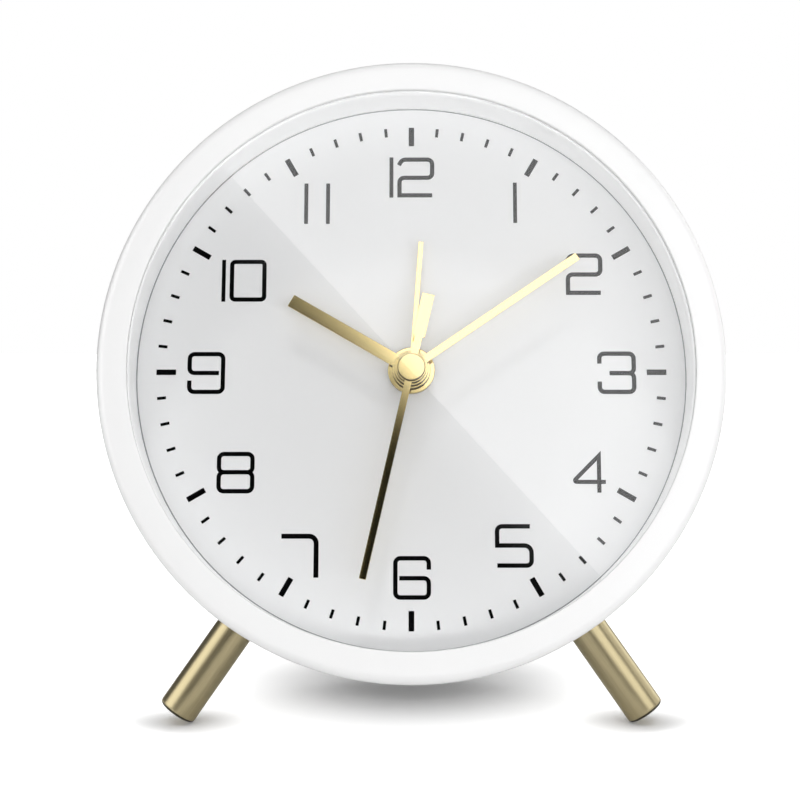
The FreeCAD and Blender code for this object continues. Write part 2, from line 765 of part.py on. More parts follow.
def make_rotor():
    phase = phase_in_mesh(0, read("step_teeth"), read("rotor_angle"), read("small_leaves"))
    leaves = placed(toothed(read("small_leaves"), MODULE, THIN, phase, True), ROTOR_X,
                    ROTOR_Y, STEP_LEVEL)
    pivots = cylinder("pivot_radius",
                      f"{MIDDLE_PLATE_LOW} + middle_plate - {REAR_PLATE_TOP} + rear_plate / 3"
                      " - end_shake", ROTOR_X, ROTOR_Y, f"{REAR_PLATE_TOP} - rear_plate / 3")
    node("rotor_pinion", joined([leaves, pivots]))
    magnet = cylinder("magnet_radius", "magnet_length", ROTOR_X, ROTOR_Y,
                      f"{STEP_LEVEL} - magnet_length")
    bore = cylinder("pivot_radius + press_gap", "magnet_length + 2 * cut_overrun", ROTOR_X,
                    ROTOR_Y, f"{STEP_LEVEL} - magnet_length - cut_overrun")
    node("rotor_magnet", less(magnet, [bore]))


def make_third_wheel():
    phase = phase_in_mesh(0, read("small_leaves"), -90, read("third_teeth"))
    wheel = placed(toothed(read("third_teeth"), MODULE, THIN, phase), "0", THIRD_Y,
                   THIRD_LEVEL)
    module = MODULE * ((read("third_teeth") + read("small_leaves"))
                       / (read("centre_teeth") + read("small_leaves")))
    reach = THIN + 2 * read("level_gap") + read("middle_plate")
    leaves = placed(toothed(read("small_leaves"), module, reach, 0, True), "0", THIRD_Y,
                    f"{THIRD_LEVEL} + wheel_thickness")
    pivots = cylinder("pivot_radius",
                      f"{FRONT_PLATE_BACK} + front_plate / 3 - {REAR_PLATE_TOP}"
                      " + rear_plate / 3", "0", THIRD_Y, f"{REAR_PLATE_TOP} - rear_plate / 3")
    node("third_wheel", joined([wheel, leaves, pivots]))


def make_centre_wheel():
    module = MODULE * ((read("third_teeth") + read("small_leaves"))
                       / (read("centre_teeth") + read("small_leaves")))
    phase = phase_in_mesh(0, read("small_leaves"), 90, read("centre_teeth"))
    wheel = placed(toothed(read("centre_teeth"), module, THIN, phase), "0", "0",
                   CENTRE_LEVEL)
    hub = cylinder(f"{MINUTE_BORE} + 2 * hub_wall", "level_gap",
                   z=f"{CENTRE_LEVEL} - level_gap + end_shake")
    bore = cylinder(MINUTE_BORE, "4 * wheel_thickness", z=f"{CENTRE_LEVEL} - wheel_thickness")
    node("centre_wheel", less(joined([wheel, hub]), [bore]))
    washer = cylinder("slip_washer_radius", "slip_washer_thickness",
                      z=f"{CENTRE_LEVEL} + wheel_thickness")
    hole = cylinder(MINUTE_BORE, "2 * wheel_thickness", z=CENTRE_LEVEL)
    node("slip_washer", less(washer, [hole]))


# Motion work: cannon pinion, motion wheel, hour wheel and the time-setting arbor

def angle_to_motion():
    motion_reach = MODULE * (read("cannon_teeth") + read("motion_teeth")) / 2
    set_reach = MODULE * (read("alarm_teeth") + read("alarm_set_teeth")) / 2
    bend = math.degrees(math.acos(set_reach / 2 / motion_reach))
    return 180 - read("setting_angle") - bend, 180 - read("setting_angle") + bend


def make_cannon_pinion():
    leaves = placed(toothed(read("cannon_teeth"), MODULE, THIN, 0, True), "0", "0",
                    MOTION_LEVEL)
    pipe = cylinder(MINUTE_PIPE, f"minute_hand_height + hand_thickness - {MOTION_LEVEL}",
                    z=MOTION_LEVEL)
    bore = cylinder(MINUTE_BORE, f"minute_hand_height - {MOTION_LEVEL} + 3 * cut_overrun",
                    z=f"{MOTION_LEVEL} - cut_overrun")
    node("cannon_pinion", less(joined([leaves, pipe]), [bore]))


def make_motion_wheel():
    towards, onwards = angle_to_motion()
    phase = phase_in_mesh(0, read("cannon_teeth"), towards, read("motion_teeth"))
    wheel = placed(toothed(read("motion_teeth"), MODULE, THIN, phase), MOTION_X, MOTION_Y,
                   MOTION_LEVEL)
    leaves = placed(toothed(read("motion_leaves"), MODULE, THIN + read("level_gap"), 0, True),
                    MOTION_X, MOTION_Y, f"{MOTION_LEVEL} + wheel_thickness")
    collar = cylinder(f"{PIVOT_BORE} + hub_wall",
                      f"{FRONT_PLATE_BACK} - end_shake - {HOUR_LEVEL} - wheel_thickness",
                      MOTION_X, MOTION_Y, f"{HOUR_LEVEL} + wheel_thickness")
    bore = cylinder(PIVOT_BORE, f"5 * {LAYER}", MOTION_X, MOTION_Y,
                    f"{MOTION_LEVEL} - cut_overrun")
    node("motion_wheel", less(joined([wheel, leaves, collar]), [bore]))


def make_hour_wheel():
    towards, onwards = angle_to_motion()
    phase = phase_in_mesh(0, read("motion_leaves"), towards + 180, read("hour_teeth"))
    wheel = placed(toothed(read("hour_teeth"), MODULE, THIN, phase), "0", "0", HOUR_LEVEL)
    pipe = cylinder(HOUR_PIPE, f"hour_hand_height + hand_thickness - {HOUR_LEVEL}",
                    z=HOUR_LEVEL)
    bore = cylinder(HOUR_BORE, f"hour_hand_height - {HOUR_LEVEL} + 3 * cut_overrun",
                    z=f"{HOUR_LEVEL} - cut_overrun")
    node("hour_wheel", less(joined([wheel, pipe]), [bore]))


def make_alarm_wheel():
    wheel = placed(toothed(read("alarm_teeth"), MODULE, THIN, 0), "0", "0", ALARM_LEVEL)
    pipe = cylinder(ALARM_PIPE, f"alarm_hand_height + hand_thickness - {ALARM_LEVEL}",
                    z=ALARM_LEVEL)
    bore = cylinder(ALARM_BORE, f"alarm_hand_height - {ALARM_LEVEL} + 3 * cut_overrun",
                    z=f"{ALARM_LEVEL} - cut_overrun")
    node("alarm_wheel", less(joined([wheel, pipe]), [bore]))


def make_setting_arbors():
    towards, onwards = angle_to_motion()
    motion_phase = phase_in_mesh(0, read("cannon_teeth"), towards, read("motion_teeth"))
    time_phase = phase_in_mesh(motion_phase, read("motion_teeth"), onwards,
                               read("time_set_teeth"))
    alarm_phase = phase_in_mesh(0, read("alarm_teeth"), read("setting_angle"),
                                read("alarm_set_teeth"))
    knob_top = f"({COVER_BACK} + well_depth - knob_lift)"
    arbor_low = f"({knob_top} - knob_height + knob_cap_thickness)"
    arbor_high = f"({FRONT_PLATE_BACK} + front_plate / 3)"
    for side, label, teeth, phase, level, leaves in (
            (-1, "time_arbor", read("time_set_teeth"), time_phase, MOTION_LEVEL, True),
            (1, "alarm_arbor", read("alarm_set_teeth"), alarm_phase, ALARM_LEVEL, False)):
        pinion = placed(toothed(teeth, MODULE, THIN, phase, leaves), f"{side} * {SET_X}",
                        SET_Y, level)
        rod = cylinder("arbor_radius", f"{arbor_high} - {arbor_low}", f"{side} * {SET_X}",
                       SET_Y, arbor_low)
        node(label, joined([pinion, rod]))


# Motor and circuit

def make_motor():
    bar_height = "(2 * (magnet_radius + stator_gap + stator_rim))"
    length, middle = f"(stator_left + {STATOR_RIGHT})", f"({STATOR_RIGHT} - stator_left) / 2"
    bar = block(length, bar_height, "stator_thickness", middle, ROTOR_Y, STATOR_LEVEL)
    tabs = [block("stator_tab", "coil_rise + coil_core_width / 2", "stator_thickness", x,
                  f"{ROTOR_Y} + (coil_rise + coil_core_width / 2) / 2", STATOR_LEVEL)
            for x in STATOR_TABS]
    hole = cylinder("magnet_radius + stator_gap", "stator_thickness + 2 * cut_overrun", ROTOR_X,
                    ROTOR_Y, f"{STATOR_LEVEL} - cut_overrun")
    node("stator", less(joined([bar] + tabs), [hole]))
    core_low = f"({STATOR_LEVEL} + stator_thickness)"
    core = block(length, "coil_core_width", "stator_thickness", middle, COIL_Y, core_low)
    node("coil_core", core)
    wound = f"({length} - 2 * stator_tab)"
    winding = cylinder("coil_radius", wound, "stator_tab - stator_left", COIL_Y,
                       f"{core_low} + stator_thickness / 2")
    turned_to(winding, Vector(0, 1, 0))
    slot = block(f"{wound} + 2 * cut_overrun", "coil_core_width + 2 * press_gap",
                 "stator_thickness + 2 * press_gap", middle, COIL_Y,
                 f"{core_low} - press_gap")
    node("coil", less(winding, [slot]))


def make_circuit():
    left = f"(movement_wall + level_gap - {HALF_MOVEMENT})"
    board_x = f"({left} + board_width / 2 + 2 * movement_wall)"
    board_y = f"(board_height / 2 - {HALF_MOVEMENT} + 2 * pillar_radius + 2 * movement_wall)"
    board = block("board_width", "board_height", "board_thickness", board_x, board_y,
                  REAR_PLATE_TOP)
    chip = cylinder("chip_radius", "chip_height", board_x, board_y,
                    f"{REAR_PLATE_TOP} + board_thickness")
    node("circuit_board", joined([board, chip]))
    crystal = cylinder("crystal_radius", "crystal_length",
                       f"{board_x} - crystal_length / 2",
                       f"{board_y} + board_height / 4 + crystal_radius",
                       f"{REAR_PLATE_TOP} + board_thickness + crystal_radius")
    turned_to(crystal, Vector(0, 1, 0))
    node("quartz_crystal", crystal)


# Hands

def hand(label, part, hub_radius, bore, tail=False):
    """A flat hand with a round hub that stands a little proud of its blade."""
    height, angle = f"{part}_hand_height", f"-{part}_hand_angle"
    width, length = f"{part}_hand_width", f"{part}_hand_length"
    body = new_body()
    blade = sketch_on(body, "XY_Plane", height, angle)
    half, wide = f"({width} / 2)", "(tail_width / 2)"
    if tail:
        outline(blade, [(f"-{half}", length), (f"-{half}", "-tail_start"),
                        (f"-{wide}", "-tail_start"), (f"-{wide}", "-tail_length"),
                        (wide, "-tail_length"), (wide, "-tail_start"),
                        (half, "-tail_start"), (half, length)])
    else:
        outline(blade, [(f"-{half}", "0"), (half, "0"), (half, length), (f"-{half}", length)])
    pad(body, blade, "hand_thickness")
    hub = sketch_on(body, "XY_Plane", f"{height} - hub_collar")
    circle(hub, hub_radius)
    pad(body, hub, "hub_collar + hand_thickness")
    hole = sketch_on(body, "XY_Plane", f"{height} - hub_collar")
    circle(hole, f"{bore} + press_gap")
    sink(body, hole, "hub_collar + hand_thickness")
    node(label, body)


def make_hands():
    hand("alarm_hand", "alarm", "alarm_hub_radius", ALARM_PIPE)
    hand("hour_hand", "hour", "hour_hub_radius", HOUR_PIPE)
    hand("minute_hand", "minute", "minute_hub_radius", MINUTE_PIPE)
    hand("second_hand", "second", "second_hub_radius", "second_arbor_radius", tail=True)
    body = new_body()
    drawing = sketch_on(body, "XY_Plane", "second_hand_height + hand_thickness")
    circle(drawing, "cap_radius")
    pad(body, drawing, "cap_height")
    bevelled(body, "cap_bevel",
             lambda edge: is_ring(edge, read("cap_radius"), read("second_hand_height")
                                  + read("hand_thickness") + read("cap_height")))
    node("second_hand_cap", body)


# Back cover and what it holds

TRAY_WIDTH = "(cell_length + nub_length + spring_length + 2 * contact_thickness)"
TRAY_HEIGHT = "(2 * (cell_radius + cell_gap))"
LID_BACK_TOP = f"({COVER_BACK} + lid_thickness)"
TRAY_FLOOR = f"({LID_BACK_TOP} + tray_depth)"
LID_WIDTH = f"({TRAY_WIDTH} + 2 * lid_ledge)"
LID_HEIGHT = f"({TRAY_HEIGHT} + 2 * lid_ledge)"
TRAY_DROP = f"(well_radius + 2 * cup_wall + {LID_HEIGHT} / 2 + tray_below_wells - {SET_Y})"
HINGE_Y = f"(-{TRAY_DROP} - {LID_HEIGHT} / 2 + lid_thickness / 2)"
HINGE_Z = f"({COVER_BACK} + lid_thickness / 2)"
WELL_FLOOR = f"({COVER_BACK} + well_depth)"
SOUNDER_Y = "(case_radius - sounder_inset)"
SWITCH_X = f"({SET_X} + well_radius + switch_beside_well)"
SWITCH_Y = f"({SET_Y} + switch_above_knobs)"


def make_back_cover():
    skirt = "(case_radius - case_wall - stack_gap)"
    skirt_top = "(-case_rear + cover_skirt_depth)"
    body = lathe([("0", COVER_BACK), (COVER_EDGE, COVER_BACK),
                  (COVER_EDGE, "-case_rear"), (skirt, "-case_rear"), (skirt, skirt_top),
                  (f"{skirt} - cover_skirt_wall", skirt_top),
                  (f"{skirt} - cover_skirt_wall", "-case_rear"), ("0", "-case_rear")])
    cover_back = -read("case_rear") - read("cover_thickness")
    bevelled(body, "cover_bevel",
             lambda edge: is_ring(edge, read("case_radius") - read("cover_inset"), cover_back))
    tray = sketch_on(body, "XY_Plane", "-case_rear")
    rectangle(tray, f"{LID_WIDTH} + 2 * cup_wall", f"{LID_HEIGHT} + 2 * cup_wall",
              y=f"-{TRAY_DROP}")
    pad(body, tray, f"{TRAY_FLOOR} + cup_wall + case_rear")
    for side in (-1, 1):
        cup = sketch_on(body, "XY_Plane", "-case_rear")
        circle(cup, "well_radius + cup_wall", f"{side} * {SET_X}", SET_Y)
        pad(body, cup, f"{WELL_FLOOR} + cup_wall + case_rear")
    lid_seat = sketch_on(body, "XY_Plane", COVER_BACK)
    rectangle(lid_seat, f"{LID_WIDTH} + 2 * lid_gap", f"{LID_HEIGHT} + 2 * lid_gap",
              y=f"-{TRAY_DROP}")
    sink(body, lid_seat, "lid_thickness + running_gap")
    hollow = sketch_on(body, "XY_Plane", COVER_BACK)
    rectangle(hollow, TRAY_WIDTH, TRAY_HEIGHT, y=f"-{TRAY_DROP}")
    sink(body, hollow, f"{TRAY_FLOOR} - {COVER_BACK}")
    for side in (-1, 1):
        well = sketch_on(body, "XY_Plane", COVER_BACK)
        circle(well, "well_radius", f"{side} * {SET_X}", SET_Y)
        sink(body, well, "well_depth")
        hole = sketch_on(body, "XY_Plane", COVER_BACK)
        circle(hole, "arbor_radius + 2 * running_gap", f"{side} * {SET_X}", SET_Y)
        sink(body, hole, "well_depth + cup_wall + cut_overrun")
    boss_holes = sketch_on(body, "XY_Plane", COVER_BACK)
    for across, up in CORNERS:
        circle(boss_holes, "cover_screw_radius + screw_gap", f"{across} * {BOSS_X}",
               f"{up} * {BOSS_Y}")
    sink(body, boss_holes, "cover_thickness + cut_overrun")
    slots = sketch_on(body, "XY_Plane", COVER_BACK)
    for index in range(int(read("slot_count"))):
        place = f"({index} - (slot_count - 1) / 2)"
        rectangle(slots, "slot_length", "slot_width", y=f"{SOUNDER_Y} + {place} * slot_spacing")
    sink(body, slots, "cover_thickness + cut_overrun")
    switch_slot = sketch_on(body, "XY_Plane", COVER_BACK)
    rectangle(switch_slot, "switch_neck + 2 * switch_gap",
              "switch_neck + switch_travel + 2 * switch_gap", SWITCH_X, SWITCH_Y)
    sink(body, switch_slot, "cover_thickness + cut_overrun")
    pins = cylinder("lid_pin_radius + running_gap",
                    f"{LID_WIDTH} + 2 * lid_gap + 2 * lid_pin_length",
                    f"-({LID_WIDTH} / 2 + lid_gap + lid_pin_length)", HINGE_Y, HINGE_Z)
    turned_to(pins, Vector(0, 1, 0))
    node("back_cover", less(body, [pins]))


def make_cover_screws():
    screws = []
    for across, up in CORNERS:
        x, y = f"{across} * {BOSS_X}", f"{up} * {BOSS_Y}"
        screws.append(cylinder("cover_screw_radius", "cover_screw_length + cover_thickness",
                               x, y, COVER_BACK))
        screws.append(cylinder("cover_screw_head_radius", "cover_screw_head", x, y,
                               f"{COVER_BACK} - cover_screw_head"))
    node("cover_screws", joined(screws))


def make_battery():
    cell_z = f"({TRAY_FLOOR} - cell_radius)"
    left = f"(-{TRAY_WIDTH} / 2)"
    cell_left = f"({left} + contact_thickness + spring_length)"
    barrel = cylinder("cell_radius", "cell_length", cell_left, f"-{TRAY_DROP}", cell_z)
    nub = cylinder("nub_radius", "nub_length", f"{cell_left} + cell_length", f"-{TRAY_DROP}",
                   cell_z)
    for solid in (barrel, nub):
        turned_to(solid, Vector(0, 1, 0))
    node("battery_cell", joined([barrel, nub]))
    plate_z = f"({TRAY_FLOOR} - contact_width)"
    plus = block("contact_thickness", "contact_width", "contact_width",
                 f"-{left} - contact_thickness / 2", f"-{TRAY_DROP}", plate_z)
    node("battery_contact_plus", plus)
    minus = block("contact_thickness", "contact_width", "contact_width",
                  f"{left} + contact_thickness / 2", f"-{TRAY_DROP}", plate_z)
    spring = cone("spring_wide_radius", "spring_narrow_radius", "spring_length",
                  f"{left} + contact_thickness", f"-{TRAY_DROP}", cell_z)
    hollow = cone("spring_wide_radius - spring_wall", "spring_narrow_radius - spring_wall",
                  "spring_length", f"{left} + contact_thickness", f"-{TRAY_DROP}", cell_z)
    for solid in (spring, hollow):
        turned_to(solid, Vector(0, 1, 0))
    node("battery_contact_spring", joined([minus, less(spring, [hollow])]))


def make_battery_lid():
    body = new_body()
    drawing = sketch_on(body, "XY_Plane", COVER_BACK)
    low, high = HINGE_Y, f"(-{TRAY_DROP} + {LID_HEIGHT} / 2)"
    half = f"({LID_WIDTH} / 2)"
    outline(drawing, [(f"-{half}", low), (half, low), (half, high), (f"-{half}", high)])
    pad(body, drawing, "lid_thickness")
    notch = sketch_on(body, "XY_Plane", COVER_BACK)
    rectangle(notch, "lid_notch_width", "lid_notch_height", y=f"{high} - lid_notch_height")
    sink(body, notch, "lid_notch_depth")
    knuckle = cylinder("lid_thickness / 2", LID_WIDTH, f"-{half}", HINGE_Y, HINGE_Z)
    pins = cylinder("lid_pin_radius", f"{LID_WIDTH} + 2 * lid_pin_length",
                    f"-{half} - lid_pin_length", HINGE_Y, HINGE_Z)
    for solid in (knuckle, pins):
        turned_to(solid, Vector(0, 1, 0))
    node("battery_lid", joined([body, knuckle, pins]))


def make_knobs():
    """Two ribbed knobs, each with a plain rim at its free end."""
    low = f"({WELL_FLOOR} - knob_lift - knob_height)"
    ribs = read("knob_ribs")
    module = read("knob_radius") / (ribs / 2 + ADDENDUM_SHARE)
    for side, label in ((-1, "time_knob"), (1, "alarm_knob")):
        x = f"{side} * {SET_X}"
        grip = placed(toothed(ribs, module, read("knob_height") - read("knob_rim"), 0), x, SET_Y,
                      f"{low} + knob_rim")
        rim = cylinder("knob_radius", "knob_rim", x, SET_Y, low)
        socket = cylinder("arbor_radius + press_gap", "knob_height", x, SET_Y,
                          f"{low} + knob_cap_thickness")
        node(label, less(joined([grip, rim]), [socket]))


def make_sounder():
    disc = cylinder("sounder_radius", "sounder_height", "0", SOUNDER_Y, "-case_rear")
    chamber = cylinder("sounder_radius - sounder_rim", "sounder_height - sounder_rim", "0",
                       SOUNDER_Y, "-case_rear")
    node("sounder", less(disc, [chamber]))


def make_alarm_switch():
    x = SWITCH_X
    rest_y = f"({SWITCH_Y} - switch_travel / 2)"
    grip = block("switch_width", "switch_length", "switch_height - switch_gap", x, rest_y,
                 f"{COVER_BACK} - switch_height")
    neck = block("switch_neck", "switch_neck",
                 "cover_thickness + 2 * switch_gap + switch_plate / 2", x, rest_y,
                 f"{COVER_BACK} - switch_gap")
    plate = block("switch_neck + 2 * switch_flange",
                  "switch_neck + switch_travel + 2 * switch_flange", "switch_plate", x,
                  rest_y, "-case_rear + switch_gap")
    node("alarm_switch", joined([grip, neck, plate]))


# Standing: the clock leans back, its legs touch the floor at z = 0, and the box is centred.

def floor_below_dial():
    """How far the floor is below the middle of the dial when the legs stand on it."""
    lean, spread = math.radians(read("lean_angle")), math.radians(read("leg_angle"))
    drop = math.cos(spread) * math.cos(lean)
    rim = read("leg_radius") - read("leg_edge_bevel")
    return (leg_reach() * drop + read("leg_depth") * math.sin(lean)
            + rim * math.sqrt(1 - drop ** 2))


def middle_of_box():
    """Where the middle of the clock's box is, from front to back, before it is centred."""
    lean = math.radians(read("lean_angle"))
    edge = read("case_edge_round")
    front = ((read("case_front") - edge) * math.cos(lean)
             + (read("case_radius") - edge) * math.sin(lean) + edge)
    knob_back = (read("case_rear") + read("cover_thickness") - read("well_depth")
                 + read("knob_lift") + read("knob_height"))
    reach = MODULE * (read("alarm_teeth") + read("alarm_set_teeth")) / 2
    knob_edge = reach * math.sin(math.radians(read("setting_angle"))) + read("knob_radius")
    back_at_knob = knob_back * math.cos(lean) + knob_edge * math.sin(lean)
    cover_edge = read("case_radius") - read("cover_inset") - read("cover_bevel")
    back_at_rim = ((read("case_rear") + read("cover_thickness")) * math.cos(lean)
                   + cover_edge * math.sin(lean))
    return (max(back_at_knob, back_at_rim) - front) / 2


def standing():
    return Placement(Vector(0, -middle_of_box(), floor_below_dial()),
                     Rotation(Vector(1, 0, 0), 90 - read("lean_angle")))


def make_rear_foot(stand):
    """A rubber pad under the drum's rear edge, flat on the floor and hollowed to the drum."""
    rear_edge = stand.multVec(Vector(0, -read("case_radius"), -read("case_rear")))
    rubber = doc.addObject("Part::Box", "rubber")
    bind(rubber, {"Length": "foot_width", "Width": "foot_length", "Height": "foot_height"})
    rubber.Placement.Base = Vector(-read("foot_width") / 2, rear_edge.y
                                   - read("foot_length") - read("foot_inset"), 0)
    drum = doc.addObject("Part::Cylinder", "drum")
    bind(drum, {"Radius": "case_radius + leg_seat_gap", "Height": "case_front + case_rear"})
    drum.Placement = stand * Placement(Vector(0, 0, -read("case_rear")), Rotation())
    node("rear_foot", less(rubber, [drum]))


make_case()
make_lens()
make_inner_ring()
make_dial()
make_dial_carrier()
make_legs()
make_leg_screws()
make_front_plate()
make_middle_plate()
make_movement_case()
make_movement_screws()
make_second_wheel()
make_step_wheel()
make_rotor()
make_third_wheel()
make_centre_wheel()
make_cannon_pinion()
make_motion_wheel()
make_hour_wheel()
make_alarm_wheel()
make_setting_arbors()
make_motor()
make_circuit()
make_hands()
make_back_cover()
make_cover_screws()
make_battery()
make_battery_lid()
make_knobs()
make_sounder()
make_alarm_switch()
doc.recompute()

stand = standing()
for feature in nodes.values():
    feature.Placement = stand * feature.Placement
make_rear_foot(stand)
doc.recompute()

for item in doc.Objects:
    if "Invalid" in item.State or "Error" in item.State:
        raise ValueError(f"{item.Label} did not build: {item.State}")
os.makedirs("parts", exist_ok=True)
for label, feature in nodes.items():
    if feature.Shape.isNull() or not feature.Shape.isValid():
        raise ValueError(f"{label} is not a sound solid")
for label, feature in nodes.items():
    feature.Shape.exportStep(f"parts/{label}.step")
print(f"{len(nodes)} sub-parts, floor {floor_below_dial():.3f} mm below the dial's middle")
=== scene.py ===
# Round white alarm clock on two brass legs, photographed on a white table.
# Pieces are worked out in the clock's own axes, in millimetres: x to the right, y up the
# dial and z out of the dial, with the dial's face at z = 0. Everything else is in metres.

import json
import math
import bmesh
import bpy
from mathutils import Matrix, Vector


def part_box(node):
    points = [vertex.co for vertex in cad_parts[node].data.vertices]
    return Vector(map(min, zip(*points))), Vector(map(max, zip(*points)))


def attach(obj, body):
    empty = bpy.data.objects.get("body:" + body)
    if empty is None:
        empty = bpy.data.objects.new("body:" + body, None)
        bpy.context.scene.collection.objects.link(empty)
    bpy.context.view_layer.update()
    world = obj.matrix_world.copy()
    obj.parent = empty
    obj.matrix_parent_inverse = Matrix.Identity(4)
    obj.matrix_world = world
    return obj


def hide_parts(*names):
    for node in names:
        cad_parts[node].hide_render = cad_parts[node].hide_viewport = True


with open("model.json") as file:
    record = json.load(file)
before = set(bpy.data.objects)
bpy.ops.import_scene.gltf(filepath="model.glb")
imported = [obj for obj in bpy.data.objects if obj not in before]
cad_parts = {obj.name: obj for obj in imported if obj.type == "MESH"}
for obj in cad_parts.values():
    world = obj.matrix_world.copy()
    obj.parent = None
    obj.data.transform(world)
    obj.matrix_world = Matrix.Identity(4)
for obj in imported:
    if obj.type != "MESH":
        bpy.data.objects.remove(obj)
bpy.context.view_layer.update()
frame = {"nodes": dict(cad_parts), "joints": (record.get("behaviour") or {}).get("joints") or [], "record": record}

MM = 0.001
TURN = 2 * math.pi
ON_AXIS = 1e-6
MERGED = 1e-5
MITRE_LEAST = 0.35
CORNER_STEPS = 8


# The clock's axes, from the joint of its hour hand

joints = {joint["name"]: joint for joint in frame["joints"]}
DIAL_MIDDLE = Vector(joints["hour_hand_turn"]["pos_m"])
OUT_OF_DIAL = Vector(joints["hour_hand_turn"]["axis"]).normalized()
TO_RIGHT = Vector((1, 0, 0))
UP_DIAL = OUT_OF_DIAL.cross(TO_RIGHT)
TO_ROW = Matrix.Translation(DIAL_MIDDLE) @ Matrix((
    TO_RIGHT, UP_DIAL, OUT_OF_DIAL)).transposed().to_4x4() @ Matrix.Scale(MM, 4)
TO_CLOCK = TO_ROW.inverted()


def corners_of(node):
    """A CAD node's corner points in the clock's axes."""
    return [TO_CLOCK @ corner.co for corner in frame["nodes"][node].data.vertices]


def heights_of(node):
    """The lowest and the highest point of a CAD node along the dial's axis."""
    heights = [corner.z for corner in corners_of(node)]
    return min(heights), max(heights)


def flat_radius(point):
    """How far a point is from the dial's axis."""
    return math.hypot(point.x, point.y)


def radius_of(node):
    """How far a CAD node reaches from the dial's axis."""
    return max(flat_radius(corner) for corner in corners_of(node))


# Meshes

def piece(name, mesh, body, material, replaced=(), smooth=True, sharp=32):
    """Puts a mesh drawn in the clock's axes on the clock, with its finish and its body."""
    bmesh.ops.recalc_face_normals(mesh, faces=mesh.faces)
    mesh.transform(TO_ROW)
    data = bpy.data.meshes.new(name)
    mesh.to_mesh(data)
    mesh.free()
    thing = bpy.data.objects.new(name, data)
    bpy.context.collection.objects.link(thing)
    data.materials.append(material)
    for face in data.polygons:
        face.use_smooth = smooth
    if smooth:
        data.set_sharp_from_angle(angle=math.radians(sharp))
    if replaced:
        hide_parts(*replaced)
    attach(thing, body)
    return thing


def arc(middle, radius, start, end, steps=6):
    """Points of an arc in a profile, with its ends, from one angle to another in degrees."""
    across, up = middle
    points = []
    for step in range(steps + 1):
        angle = math.radians(start + (end - start) * step / steps)
        points.append((across + radius * math.cos(angle), up + radius * math.sin(angle)))
    return points


def turned(mesh, profile, segments=192, closed=True):
    """Turns a profile of radius and height about z. The map runs round it, then along it."""
    layer = mesh.loops.layers.uv.verify()
    rings = []
    for step in range(segments):
        angle = TURN * step / segments
        rings.append([mesh.verts.new((radius * math.cos(angle), radius * math.sin(angle), z))
                      for radius, z in profile])
    count = len(profile)
    along = [0.0]
    for index in range(count):
        after = profile[(index + 1) % count]
        along.append(along[-1] + math.dist(profile[index], after))
    for step in range(segments):
        ring, after = rings[step], rings[(step + 1) % segments]
        for index in range(count if closed else count - 1):
            following = (index + 1) % count
            if max(profile[index][0], profile[following][0]) < ON_AXIS:
                continue
            face = mesh.faces.new((ring[index], after[index], after[following],
                                   ring[following]))
            places = ((step, along[index]), (step + 1, along[index]),
                      (step + 1, along[index + 1]), (step, along[index + 1]))
            widest = max(profile[index][0], profile[following][0])
            for loop, (round_by, length) in zip(face.loops, places):
                loop[layer].uv = (round_by * TURN * widest / segments, length)
    bmesh.ops.remove_doubles(mesh, verts=mesh.verts, dist=MERGED)


def slab(mesh, outline, low, high, edge=0.0):
    """A flat plate from a closed outline, with its upper edge rounded a little."""
    layer = mesh.loops.layers.uv.verify()
    bottom = [mesh.verts.new((x, y, low)) for x, y in outline]
    top = [mesh.verts.new((x, y, high)) for x, y in outline]
    count = len(outline)
    faces = [mesh.faces.new(list(reversed(bottom))), mesh.faces.new(top)]
    for index in range(count):
        after = (index + 1) % count
        faces.append(mesh.faces.new((bottom[index], bottom[after], top[after], top[index])))
    if edge:
        bmesh.ops.bevel(mesh, geom=list(faces[1].edges), offset=edge, segments=3, profile=0.5,
                        affect="EDGES")
    for face in mesh.faces:
        for loop in face.loops:
            loop[layer].uv = (loop.vert.co.y, loop.vert.co.x + loop.vert.co.z)


# Node trees

def add(tree, kind, inputs=(), **settings):
    """A node with its settings. An input that is a socket is joined, any other is set."""
    node = tree.nodes.new(kind)
    for name, value in settings.items():
        setattr(node, name, value)
    for name, value in dict(inputs).items():
        if isinstance(value, bpy.types.NodeSocket):
            tree.links.new(value, node.inputs[name])
        else:
            node.inputs[name].default_value = value
    return node


def effect(name, takes, gives):
    """A node group with named sockets: (name, kind, starting value) in, (name, kind) out."""
    group = bpy.data.node_groups.new(name, "ShaderNodeTree")
    for title, kind, start in takes:
        socket = group.interface.new_socket(title, in_out="INPUT", socket_type=kind)
        if start is not None:
            socket.default_value = start
    for title, kind in gives:
        group.interface.new_socket(title, in_out="OUTPUT", socket_type=kind)
    return group, group.nodes.new("NodeGroupInput"), group.nodes.new("NodeGroupOutput")


def ranged(tree, value, low, high):
    """A 0 to 1 value spread between two others."""
    return add(tree, "ShaderNodeMapRange",
               {"Value": value, "To Min": low, "To Max": high}).outputs["Result"]


def uneven_finish():
    """Slow change of roughness over a surface, as from handling and moulding."""
    group, takes, gives = effect(
        "uneven_finish",
        [("Place", "NodeSocketVector", None), ("Spots per Metre", "NodeSocketFloat", 60.0),
         ("Smoothest", "NodeSocketFloat", 0.3), ("Roughest", "NodeSocketFloat", 0.4)],
        [("Roughness", "NodeSocketFloat"), ("Mask", "NodeSocketFloat")])
    noise = add(group, "ShaderNodeTexNoise",
                {"Vector": takes.outputs["Place"], "Scale": takes.outputs["Spots per Metre"],
                 "Detail": 4.0, "Roughness": 0.6})
    spread = ranged(group, noise.outputs["Fac"], takes.outputs["Smoothest"],
                    takes.outputs["Roughest"])
    group.links.new(spread, gives.inputs["Roughness"])
    group.links.new(noise.outputs["Fac"], gives.inputs["Mask"])
    return group


